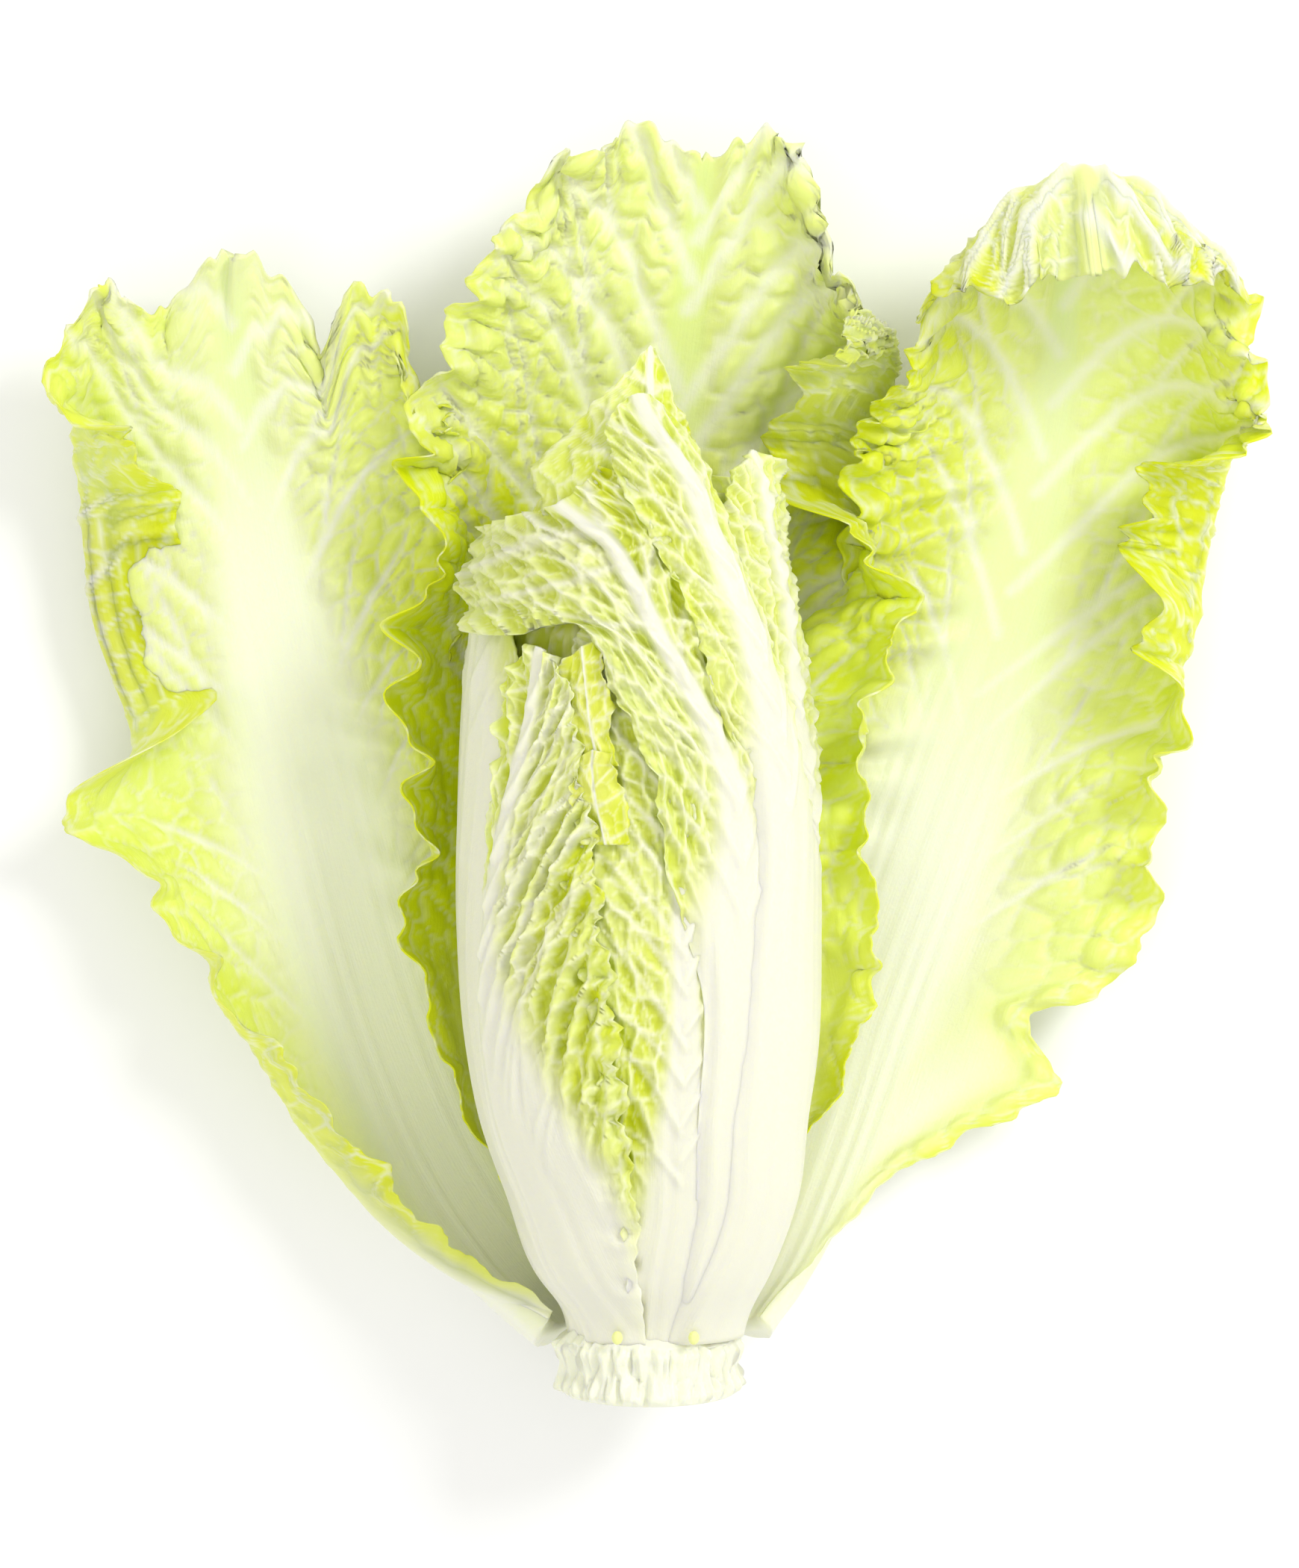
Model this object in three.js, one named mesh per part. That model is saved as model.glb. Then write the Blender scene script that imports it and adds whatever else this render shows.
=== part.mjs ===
// A Chinese cabbage lying on the backs of its three opened outer leaves.
// Millimetres. +Z is up, the cut stump is at low Y and the leaf tips point along +Y.
// Every leaf is a closed sheet: one face follows a surface, the other lies a thickness behind it.
import * as THREE from 'three';

// Driving dimensions.
const HEAD_LENGTH = 320;
const HEART_WIDTH = 92;
const HEART_DEPTH = 86;
const HEART_AXIS_HEIGHT = 51;
const STUMP_START = 2.5;
const STUMP_LENGTH = 15;
const STUMP_WIDTH = 47.5;
const STUMP_DEPTH = 45;
const STUMP_AXIS_HEIGHT = 43;
const BLADE = 1.0;
const WRAPPER = 1.2;
const LAYER_STEP = 2.1;
const CLEARANCE = 0.4;
const LEAF_START = STUMP_START + STUMP_LENGTH + CLEARANCE;

// The leaf tables below are written for a head of 320 mm and stretch along it with HEAD_LENGTH.
const STRETCH = HEAD_LENGTH / 320;

const BLADE_COLOUR = 0xdbe884;
const HEART_COLOUR = 0xe6eeb4;
const STUMP_COLOUR = 0xf2f3e6;

// Smooth curve through rows of numbers: rows are [knot, value, value, ...], in order of their knots.
function through(rows, at) {
  const last = rows.length - 1;
  const place = Math.min(Math.max(at, rows[0][0]), rows[last][0]);
  let i = 0;
  while (i < last - 1 && place > rows[i + 1][0]) i += 1;
  const slope = (k, c) => {
    const rise = (a, b) => (rows[b][c] - rows[a][c]) / (rows[b][0] - rows[a][0]);
    if (k === 0) return rise(0, 1);
    if (k === last) return rise(last - 1, last);
    const before = rows[k][0] - rows[k - 1][0];
    const after = rows[k + 1][0] - rows[k][0];
    return (rise(k - 1, k) * after + rise(k, k + 1) * before) / (before + after);
  };
  const gap = rows[i + 1][0] - rows[i][0];
  const t = (place - rows[i][0]) / gap;
  const values = [];
  for (let c = 1; c < rows[0].length; c += 1) {
    const start = (2 * t ** 3 - 3 * t ** 2 + 1) * rows[i][c] + (t ** 3 - 2 * t ** 2 + t) * gap * slope(i, c);
    const end = (3 * t ** 2 - 2 * t ** 3) * rows[i + 1][c] + (t ** 3 - t ** 2) * gap * slope(i + 1, c);
    values.push(start + end);
  }
  return values;
}

// Rows numbered 0, 1, 2, ... for tables whose stations are evenly counted.
function numbered(table) {
  return table.map((row, index) => [index, ...row]);
}

// Closed body from two grids of points: the front face, the back face and the rim between them.
function sheet(name, front, back, colour) {
  const rows = front.length;
  const columns = front[0].length;
  const positions = [];
  for (const grid of [front, back]) {
    for (const row of grid) {
      for (const point of row) positions.push(point.x, point.y, point.z);
    }
  }
  const at = (side, row, column) => side * rows * columns + row * columns + column;
  const indices = [];
  for (let r = 0; r < rows - 1; r += 1) {
    for (let c = 0; c < columns - 1; c += 1) {
      for (const side of [0, 1]) {
        const a = at(side, r, c);
        const b = at(side, r, c + 1);
        const d = at(side, r + 1, c);
        const e = at(side, r + 1, c + 1);
        if (side === 0) indices.push(a, b, e, a, e, d);
        else indices.push(a, e, b, a, d, e);
      }
    }
  }
  const rim = [];
  for (let c = 0; c < columns - 1; c += 1) rim.push([0, c]);
  for (let r = 0; r < rows - 1; r += 1) rim.push([r, columns - 1]);
  for (let c = columns - 1; c > 0; c -= 1) rim.push([rows - 1, c]);
  for (let r = rows - 1; r > 0; r -= 1) rim.push([r, 0]);
  rim.forEach(([r, c], index) => {
    const [nextRow, nextColumn] = rim[(index + 1) % rim.length];
    const a = at(0, r, c);
    const b = at(0, nextRow, nextColumn);
    const d = at(1, r, c);
    const e = at(1, nextRow, nextColumn);
    indices.push(a, d, e, a, e, b);
  });
  const geometry = new THREE.BufferGeometry();
  geometry.setAttribute('position', new THREE.Float32BufferAttribute(positions, 3));
  geometry.setIndex(indices);
  geometry.computeVertexNormals();
  const mesh = new THREE.Mesh(geometry, new THREE.MeshStandardMaterial({ color: colour, roughness: 0.6 }));
  mesh.name = name;
  return mesh;
}

// Where the columns of an opened leaf stand, from its rib (0) to its margin (1).
const ACROSS = [0, 0.13, 0.27, 0.42, 0.57, 0.71, 0.83, 0.92, 1];
const OPEN_ROWS = 22;

// An opened leaf. rib rows: x, y, z, then the way its upper face looks. left and right rows:
// station, width, lean and curl in degrees. thick rows: rib thickness, rib half width.
function openLeaf(name, leaf) {
  const rib = numbered(leaf.rib);
  const thick = numbered(leaf.thick);
  const last = rib.length - 1;
  const front = [];
  const back = [];
  const point = (station) => {
    const [x, y, z] = through(rib, station);
    return new THREE.Vector3(x, y * STRETCH, z);
  };
  for (let r = 0; r < OPEN_ROWS; r += 1) {
    const station = (last * r) / (OPEN_ROWS - 1);
    const origin = point(station);
    const along = point(station + 0.05).sub(point(station - 0.05)).normalize();
    const [, , , ux, uy, uz] = through(rib, station);
    const up = new THREE.Vector3(ux, uy, uz);
    up.addScaledVector(along, -up.dot(along)).normalize();
    const aside = along.clone().cross(up);
    const [ribThickness, ribHalf] = through(thick, station);
    const half = (table, sign) => {
      const [width, lean, curl] = through(table, station);
      const ripple = leaf.ripple * Math.sin(station * leaf.waves + sign);
      const points = [];
      let across = 0;
      let height = 0;
      let before = 0;
      for (const place of ACROSS) {
        const steps = 6;
        for (let k = 0; k < steps && place > 0; k += 1) {
          const middle = before + ((place - before) * (k + 0.5)) / steps;
          const turn = lean + (curl + ripple * middle) * middle ** leaf.power;
          const angle = THREE.MathUtils.degToRad(turn);
          across += (Math.cos(angle) * width * (place - before)) / steps;
          height += (Math.sin(angle) * width * (place - before)) / steps;
        }
        before = place;
        const turn = lean + (curl + ripple * place) * place ** leaf.power;
        const angle = THREE.MathUtils.degToRad(turn);
        const surface = origin.clone().addScaledVector(aside, sign * across).addScaledVector(up, height);
        const behind = up.clone().multiplyScalar(-Math.cos(angle));
        behind.addScaledVector(aside, sign * Math.sin(angle));
        const inRib = Math.min((place * width) / ribHalf, 1);
        const depth = BLADE + ribThickness * (1 - inRib ** 3);
        points.push([surface, surface.clone().addScaledVector(behind, depth)]);
      }
      return points;
    };
    const left = half(leaf.left, -1);
    const right = half(leaf.right, 1);
    const row = [...left.slice(1).reverse(), ...right];
    front.push(row.map(([surface]) => surface.setZ(Math.max(surface.z, BLADE))));
    back.push(row.map(([, behind]) => behind.setZ(Math.max(behind.z, 0))));
  }
  return sheet(name, front, back, leaf.colour);
}

// The heart is a barrel. Rows: y, sideways place of its axis, half width, axis height, half depth,
// the last four as parts of the heart's width, depth and axis height.
const BARREL = [
  [15, 0.01, 0.47, 0.83, 0.47],
  [24, 0.01, 0.52, 0.86, 0.54],
  [34, 0.0, 0.65, 0.89, 0.66],
  [53, 0.0, 0.8, 0.93, 0.8],
  [72, -0.02, 0.9, 0.97, 0.9],
  [92, -0.025, 0.97, 0.99, 0.96],
  [120, -0.03, 1.0, 1.0, 1.0],
  [155, -0.025, 1.0, 1.0, 1.0],
  [190, -0.03, 0.94, 1.0, 0.98],
  [215, -0.04, 0.82, 1.01, 0.88],
  [240, -0.02, 0.57, 1.02, 0.66],
  [256, -0.01, 0.3, 1.06, 0.4],
  [270, 0.0, 0.1, 1.1, 0.16],
];

// A point on the barrel. arc: millimetres round from the top line; out: how far outside the barrel.
function onHeart(arc, y, out) {
  const [shift, wide, high, deep] = through(BARREL, y);
  const angle = arc / 45;
  const halfWidth = Math.max((wide * HEART_WIDTH) / 2 + out, 0.6);
  const halfDepth = Math.max((deep * HEART_DEPTH) / 2 + out, 0.6);
  const x = shift * HEART_WIDTH + halfWidth * Math.sin(angle);
  const z = high * HEART_AXIS_HEIGHT + halfDepth * Math.cos(angle);
  return new THREE.Vector3(x, y * STRETCH, z);
}

// A leaf wrapped on the heart. path rows: arc and y of the left edge, the rib and the right edge.
// out rows: how far the left edge, the rib and the right edge stand off the barrel.
function wrappedLeaf(name, leaf) {
  const path = numbered(leaf.path);
  const last = path.length - 1;
  const rows = leaf.rows ?? 15;
  const columns = leaf.columns ?? 9;
  const front = [];
  const back = [];
  for (let r = 0; r < rows; r += 1) {
    const station = (last * r) / (rows - 1);
    const [leftArc, leftY, ribArc, ribY, rightArc, rightY] = through(path, station);
    const [leftOut, ribOut, rightOut] = through(leaf.out, station);
    const frontRow = [];
    const backRow = [];
    for (let c = 0; c < columns; c += 1) {
      const t = (2 * c) / (columns - 1) - 1;
      const toLeft = Math.max(-t, 0);
      const toRight = Math.max(t, 0);
      const atRib = 1 - toLeft - toRight;
      const arc = leftArc * toLeft + ribArc * atRib + rightArc * toRight;
      const y = leftY * toLeft + ribY * atRib + rightY * toRight;
      const out = leftOut * toLeft + ribOut * atRib + rightOut * toRight;
      frontRow.push(onHeart(arc, y, out));
      backRow.push(onHeart(arc, y, out - WRAPPER));
    }
    front.push(frontRow);
    back.push(backRow);
  }
  return sheet(name, front, back, leaf.colour ?? HEART_COLOUR);
}

// A closed body of rings, each ring a list of points, closed by a fan at either end.
function ringed(name, rings, colour) {
  const count = rings[0].length;
  const positions = [];
  for (const ring of rings) for (const p of ring) positions.push(p.x, p.y, p.z);
  const middle = (ring) => {
    const centre = new THREE.Vector3();
    for (const p of ring) centre.addScaledVector(p, 1 / ring.length);
    return centre;
  };
  const first = middle(rings[0]);
  const final = middle(rings[rings.length - 1]);
  positions.push(first.x, first.y, first.z, final.x, final.y, final.z);
  const firstAt = rings.length * count;
  const finalAt = firstAt + 1;
  const indices = [];
  for (let r = 0; r < rings.length - 1; r += 1) {
    for (let c = 0; c < count; c += 1) {
      const a = r * count + c;
      const b = r * count + ((c + 1) % count);
      indices.push(a, b + count, a + count, a, b, b + count);
    }
  }
  const tail = (rings.length - 1) * count;
  for (let c = 0; c < count; c += 1) {
    const next = (c + 1) % count;
    indices.push(firstAt, next, c);
    indices.push(finalAt, tail + c, tail + next);
  }
  const geometry = new THREE.BufferGeometry();
  geometry.setAttribute('position', new THREE.Float32BufferAttribute(positions, 3));
  geometry.setIndex(indices);
  geometry.computeVertexNormals();
  const mesh = new THREE.Mesh(geometry, new THREE.MeshStandardMaterial({ color: colour, roughness: 0.6 }));
  mesh.name = name;
  return mesh;
}

// The packed inner leaves that fill the heart, one closed body inside the wrapped leaves.
function heartCore() {
  const rings = [];
  const around = 20;
  const stations = [LEAF_START, 26, 42, 64, 90, 120, 150, 178, 200, 217, 230];
  for (const y of stations) {
    const ring = [];
    for (let c = 0; c < around; c += 1) {
      const arc = (2 * Math.PI * 45 * c) / around;
      ring.push(onHeart(arc, y, -3.4 * LAYER_STEP));
    }
    rings.push(ring);
  }
  return ringed('heart_core', rings, HEART_COLOUR);
}

// The stump: a short drum with upright scars where leaves were taken off, cut a little aslant.
function stump() {
  const around = 44;
  const rings = [];
  const profile = [[0, 0.93], [2, 1.0], [6, 0.965], [10, 0.97], [13, 1.0], [STUMP_LENGTH, 0.93]];
  for (const [y, size] of profile) {
    const ring = [];
    for (let c = 0; c < around; c += 1) {
      const angle = (2 * Math.PI * c) / around;
      const scar = 0.03 * Math.cos(angle * 11) + 0.015 * Math.cos(angle * 22 + 1);
      const reach = size + (y > 1 && y < STUMP_LENGTH ? scar : 0);
      const x = (STUMP_WIDTH / 2) * reach * Math.sin(angle);
      const z = STUMP_AXIS_HEIGHT + (STUMP_DEPTH / 2) * reach * Math.cos(angle);
      const slant = y < 1 ? 1.2 * (1 - Math.cos(angle)) : 0;
      ring.push(new THREE.Vector3(x, (STUMP_START + y + slant) * STRETCH, z));
    }
    rings.push(ring);
  }
  return ringed('stump', rings, STUMP_COLOUR);
}

// A little side bud sitting on the heart just above the stump.
function bud(name, x) {
  const geometry = new THREE.SphereGeometry(2.1, 10, 7);
  geometry.scale(1, 1.25, 0.8);
  geometry.translate(x, LEAF_START + 3, 67);
  const mesh = new THREE.Mesh(geometry, new THREE.MeshStandardMaterial({ color: BLADE_COLOUR }));
  mesh.name = name;
  return mesh;
}

const LEFT_LEAF = {
  colour: BLADE_COLOUR,
  power: 3,
  ripple: 14,
  waves: 3.1,
  rib: [
    [-23, 19, 33, 0.8, 0.1, 0.6],
    [-40, 36, 22, 0.6, 0.05, 0.8],
    [-57, 61, 13, 0.42, 0, 0.9],
    [-71, 94, 9, 0.2, 0, 0.97],
    [-82, 130, 8, 0.1, 0, 1],
    [-91, 165, 8, 0.06, 0, 1],
    [-99, 200, 9, 0.05, 0, 1],
    [-105, 235, 12, 0.05, -0.1, 1],
    [-108, 265, 19, 0, -0.3, 0.95],
    [-108, 283, 27, 0, -0.5, 0.85],
    [-107, 293, 33, 0, -0.55, 0.8],
  ],
  left: [
    [0, 10, 20, 50],
    [1, 21, 5, 80],
    [2, 33, 4, 100],
    [3, 42, 5, 110],
    [4, 50, 6, 95],
    [4.6, 56, 5, 70],
    [5, 70, 5, 50],
    [5.4, 64, 5, 120],
    [5.8, 58, 5, 150],
    [6.2, 67, 5, 165],
    [7, 62, 5, 155],
    [8, 56, 5, 125],
    [9, 44, 5, 75],
    [10, 36, 5, 40],
  ],
  right: [
    [0, 8, 5, 10],
    [1, 15, 4, 15],
    [2, 24, 4, 30],
    [3, 29, 4, 45],
    [4, 31, 5, 52],
    [5, 33, 5, 60],
    [6, 41, 5, 60],
    [7, 50, 5, 50],
    [8, 50, 5, 45],
    [9, 40, 5, 35],
    [10, 34, 5, 25],
  ],
  thick: [[7, 11], [8, 13], [8.5, 16], [8.5, 18], [8, 19], [7.5, 19], [7, 17], [6, 13], [4, 9], [2.5, 6], [1.5, 5]],
};

const CENTRE_LEAF = {
  colour: BLADE_COLOUR,
  power: 1.8,
  ripple: 10,
  waves: 2.9,
  rib: [
    [0, 19, 21, 0, 0.35, 0.94],
    [-1, 45, 11, 0, 0.2, 0.98],
    [-2, 80, 7.6, 0, 0.05, 1],
    [-2, 115, 6.8, 0, 0, 1],
    [-1, 150, 6.6, 0, 0, 1],
    [0, 185, 6.8, 0, 0, 1],
    [3, 220, 8, 0, -0.05, 1],
    [6, 250, 12, 0, -0.15, 1],
    [10, 280, 19, 0, -0.3, 0.95],
    [13, 305, 28, 0, -0.45, 0.88],
    [15, 322, 37, 0, -0.6, 0.8],
  ],
  left: [
    [0, 16, 0, 40],
    [1, 38, 0, 75],
    [2, 60, 0, 80],
    [3, 76, 0, 90],
    [4, 80, 0, 100],
    [5, 85, 0, 95],
    [5.8, 76, 0, 90],
    [6.3, 76, 0, 70],
    [7, 71, 2, 45],
    [8, 62, 4, 35],
    [9, 54, 4, 30],
    [10, 40, 4, 20],
  ],
  right: [
    [0, 16, 0, 40],
    [1, 37, 0, 75],
    [2, 60, 0, 75],
    [3, 76, 0, 85],
    [4, 76, 0, 95],
    [5, 76, 0, 95],
    [6, 80, 0, 90],
    [7, 78, 2, 105],
    [8, 70, 4, 100],
    [9, 46, 4, 60],
    [10, 30, 4, 20],
  ],
  thick: [[6, 12], [7, 15], [8, 18], [8, 20], [8, 20], [8, 19], [7, 16], [5, 12], [3.5, 9], [2.5, 6], [1.5, 5]],
};

const RIGHT_LEAF = {
  colour: BLADE_COLOUR,
  power: 2.6,
  ripple: 12,
  waves: 3.3,
  rib: [
    [23, 20, 33, -0.75, 0.1, 0.65],
    [33, 38, 22, -0.5, 0.05, 0.85],
    [45, 68, 13, -0.25, 0, 0.95],
    [56, 100, 9, -0.1, 0, 1],
    [68, 132, 8, -0.05, 0, 1],
    [80, 165, 8, -0.04, 0, 1],
    [92, 198, 9, -0.02, 0, 1],
    [101, 232, 12, 0, -0.1, 1],
    [106, 264, 19, 0, -0.25, 0.97],
    [108, 291, 31, 0, -0.6, 0.8],
    [109, 309, 46, 0, -0.9, 0.45],
    [109, 310, 60, 0, -1, -0.2],
    [109, 300, 69, 0, -0.6, -0.8],
  ],
  left: [
    [0, 9, 5, 20],
    [1, 11, 0, 10],
    [2, 14, -8, 10],
    [3, 20, -4, 15],
    [4, 24, 0, 30],
    [5, 30, 4, 55],
    [6, 36, 6, 65],
    [7, 44, 6, 55],
    [8, 48, 5, 45],
    [9, 43, 5, 35],
    [10, 32, 5, 30],
    [11, 26, 5, 25],
    [12, 18, 5, 20],
  ],
  right: [
    [0, 9, 5, 15],
    [1, 13, 0, 20],
    [2, 28, 0, 20],
    [2.5, 45, 0, 20],
    [2.85, 57, 2, 20],
    [3.3, 42, 2, 25],
    [3.7, 57, 2, 25],
    [4.2, 64, 2, 35],
    [5, 60, 2, 70],
    [5.6, 56, 3, 95],
    [6.3, 66, 3, 115],
    [7, 64, 4, 145],
    [8, 67, 4, 140],
    [9, 54, 4, 75],
    [10, 40, 4, 45],
    [11, 30, 4, 30],
    [12, 18, 4, 20],
  ],
  thick: [
    [7, 11], [8, 13], [8.5, 17], [8.5, 20], [8, 21], [7.5, 20], [7, 17],
    [6, 13], [4, 9], [2.5, 6], [1.5, 5], [1.2, 4], [1, 4],
  ],
};

// The right wrapper with its broad rib, on top of the heart.
const HEART_RIGHT = {
  path: [
    [6, LEAF_START, 32, LEAF_START, 70, LEAF_START],
    [17, 45, 40, 45, 90, 45],
    [23, 80, 38, 78, 96, 78],
    [27, 112, 37, 105, 90, 108],
    [30, 142, 38, 135, 64, 138],
    [27, 160, 38, 162, 49, 160],
    [18, 182, 34, 182, 43, 180],
    [14, 200, 30, 201, 37, 199],
    [5, 217, 24, 219, 34, 215],
    [-8, 233, 16, 235, 28, 233],
    [-17, 245, 4, 246, 20, 246],
    [-13, 253, -5, 254, 4, 254],
  ],
  out: [[0, 0, 0, 0], [5, 0, 1, 0], [9, 0, 1.2, 0], [11, 0.4, 0.6, 0.4]],
  rows: 19,
};

// The cap: a leaf from under the right wrapper whose lobe folds over to the left.
const HEART_CAP = {
  path: [
    [10, LEAF_START, 20, LEAF_START, 32, LEAF_START],
    [14, 45, 26, 45, 36, 45],
    [16, 80, 27, 78, 36, 78],
    [16, 108, 27, 106, 36, 106],
    [7, 136, 26, 132, 36, 132],
    [3, 160, 23, 157, 36, 157],
    [-6, 180, 15, 176, 30, 180],
    [-14, 196, 6, 192, 22, 201],
    [-32, 194, 0, 206, 12, 216],
    [-52, 196, -6, 215, 4, 227],
    [-66, 206, -14, 220, -6, 233],
    [-68, 222, -26, 226, -18, 236],
  ],
  out: [
    [0, -LAYER_STEP, -LAYER_STEP, -LAYER_STEP],
    [3, -0.2, -LAYER_STEP, -LAYER_STEP],
    [6, 0.5, -LAYER_STEP, -LAYER_STEP],
    [8, 2, -0.8, -LAYER_STEP],
    [9, 2.4, 0, -LAYER_STEP],
    [11, 2.6, 1, -LAYER_STEP],
  ],
  rows: 20,
};

// The leaf under the cap, whose margin meets the left wrapper at the seam.
const HEART_SEAM = {
  path: [
    [-5, LEAF_START, 6, LEAF_START, 20, LEAF_START],
    [-5, 45, 9, 45, 21, 45],
    [-6, 80, 11, 78, 24, 78],
    [-11, 110, 12, 105, 26, 105],
    [-16, 140, 11, 130, 26, 130],
    [-16, 165, 8, 155, 26, 155],
    [-16, 185, 3, 178, 22, 178],
    [-13, 197, 0, 193, 16, 196],
  ],
  out: [[0, -2 * LAYER_STEP, -2 * LAYER_STEP, -2 * LAYER_STEP], [7, -2 * LAYER_STEP, -2 * LAYER_STEP, -2 * LAYER_STEP]],
};

// The left wrapper; its right margin is the ruffled seam.
const HEART_LEFT = {
  path: [
    [-44, LEAF_START, -28, LEAF_START, -4, LEAF_START],
    [-52, 45, -38, 45, -4, 42],
    [-52, 80, -44, 78, -4, 76],
    [-49, 112, -44, 108, -9, 104],
    [-44, 135, -40, 130, -13, 127],
    [-41, 155, -35, 150, -15, 146],
    [-39, 172, -30, 166, -17, 162],
    [-37, 184, -27, 180, -19, 178],
    [-31, 192, -26, 191, -21, 188],
  ],
  out: [[0, 0, 0, 0], [3, 0, 0.5, 0.8], [8, 0, 0.5, 1]],
};

// The broad white leaf at the far left, its right part under the left wrapper.
const HEART_FAR_LEFT = {
  path: [
    [-80, LEAF_START, -60, LEAF_START, -38, LEAF_START],
    [-104, 45, -72, 45, -44, 45],
    [-112, 80, -74, 80, -44, 80],
    [-112, 115, -72, 115, -40, 115],
    [-105, 150, -66, 150, -34, 150],
    [-95, 178, -62, 178, -30, 176],
    [-84, 200, -62, 201, -42, 199],
  ],
  out: [[0, -0.8, -1.8, -LAYER_STEP], [2, 0, -1.0, -LAYER_STEP], [6, 0, -0.6, -LAYER_STEP]],
};

// The blistered leaf down the right side, out from under the right wrapper.
const HEART_SIDE = {
  path: [
    [55, LEAF_START, 75, LEAF_START, 96, LEAF_START],
    [50, 60, 78, 60, 118, 60],
    [46, 110, 70, 110, 116, 110],
    [43, 150, 58, 150, 108, 150],
    [40, 180, 50, 178, 100, 180],
    [36, 204, 54, 204, 92, 205],
    [33, 222, 52, 222, 84, 226],
    [38, 233, 53, 236, 72, 238],
  ],
  out: [
    [0, -LAYER_STEP, -LAYER_STEP, -LAYER_STEP],
    [3, -LAYER_STEP, -LAYER_STEP, -1.5],
    [5, -LAYER_STEP, -1, 0],
    [7, -LAYER_STEP, 3, 7],
  ],
};

// The leaf round the back of the heart, against the opened centre leaf.
const HEART_BACK = {
  path: [
    [86, LEAF_START, 141, LEAF_START, 212, LEAF_START],
    [96, 60, 141, 60, 188, 60],
    [98, 110, 141, 110, 184, 110],
    [94, 150, 141, 150, 190, 150],
    [88, 185, 141, 185, 198, 185],
    [84, 215, 141, 215, 204, 212],
    [92, 236, 141, 240, 190, 234],
  ],
  out: [[0, -2 * LAYER_STEP, -2 * LAYER_STEP, -2 * LAYER_STEP], [6, -2 * LAYER_STEP, -2 * LAYER_STEP, -2 * LAYER_STEP]],
};

// The tip standing past the right wrapper at the top of the heart.
const HEART_TIP = {
  path: [
    [-20, 206, 4, 206, 30, 206],
    [-34, 224, 3, 224, 30, 224],
    [-50, 236, 2, 240, 32, 240],
    [-40, 249, 4, 252, 31, 250],
    [-22, 259, 4, 261, 24, 260],
    [-8, 265, 3, 267, 12, 266],
  ],
  out: [[0, -2 * LAYER_STEP, -2 * LAYER_STEP, -2 * LAYER_STEP], [2, -1, -2 * LAYER_STEP, -2 * LAYER_STEP], [5, -1, -1, -1]],
  rows: 10,
};

// Two small curled tips in the opening beside the seam.
const INNER_TIP_UPPER = {
  path: [
    [-12, 166, -10, 166, -8, 166],
    [-15, 173, -12, 174, -9, 175],
    [-17, 181, -14, 182, -10, 184],
    [-18, 188, -15, 191, -12, 192],
  ],
  out: [[0, 0, 0.4, 0], [3, 0.6, 1.5, 0.6]],
  rows: 7,
  columns: 5,
  colour: BLADE_COLOUR,
};
const INNER_TIP_LOWER = {
  path: [
    [-11, 144, -8, 144, -5, 144],
    [-12, 151, -8, 152, -4, 152],
    [-12, 158, -8, 159, -4, 158],
    [-12, 163, -9, 165, -6, 163],
  ],
  out: [[0, 0, 0.4, 0], [3, 0.6, 1.5, 0.6]],
  rows: 7,
  columns: 5,
  colour: BLADE_COLOUR,
};

const cabbage = new THREE.Group();
cabbage.name = 'chinese_cabbage';
cabbage.add(stump());
cabbage.add(openLeaf('open_leaf_left', LEFT_LEAF));
cabbage.add(openLeaf('open_leaf_centre', CENTRE_LEAF));
cabbage.add(openLeaf('open_leaf_right', RIGHT_LEAF));
cabbage.add(heartCore());
cabbage.add(wrappedLeaf('heart_leaf_back', HEART_BACK));
cabbage.add(wrappedLeaf('heart_leaf_side', HEART_SIDE));
cabbage.add(wrappedLeaf('heart_leaf_far_left', HEART_FAR_LEFT));
cabbage.add(wrappedLeaf('heart_leaf_left', HEART_LEFT));
cabbage.add(wrappedLeaf('heart_leaf_seam', HEART_SEAM));
cabbage.add(wrappedLeaf('heart_leaf_cap', HEART_CAP));
cabbage.add(wrappedLeaf('heart_leaf_right', HEART_RIGHT));
cabbage.add(wrappedLeaf('heart_leaf_tip', HEART_TIP));
cabbage.add(wrappedLeaf('inner_tip_upper', INNER_TIP_UPPER));
cabbage.add(wrappedLeaf('inner_tip_lower', INNER_TIP_LOWER));
cabbage.add(bud('bud_left', -11));
cabbage.add(bud('bud_right', 11));

// Stand the origin under the middle of the whole cabbage.
const box = new THREE.Box3().setFromObject(cabbage);
const offset = new THREE.Vector3((box.min.x + box.max.x) / 2, (box.min.y + box.max.y) / 2, box.min.z);
for (const mesh of cabbage.children) mesh.geometry.translate(-offset.x, -offset.y, -offset.z);

export default cabbage;
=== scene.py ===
import math

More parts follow.
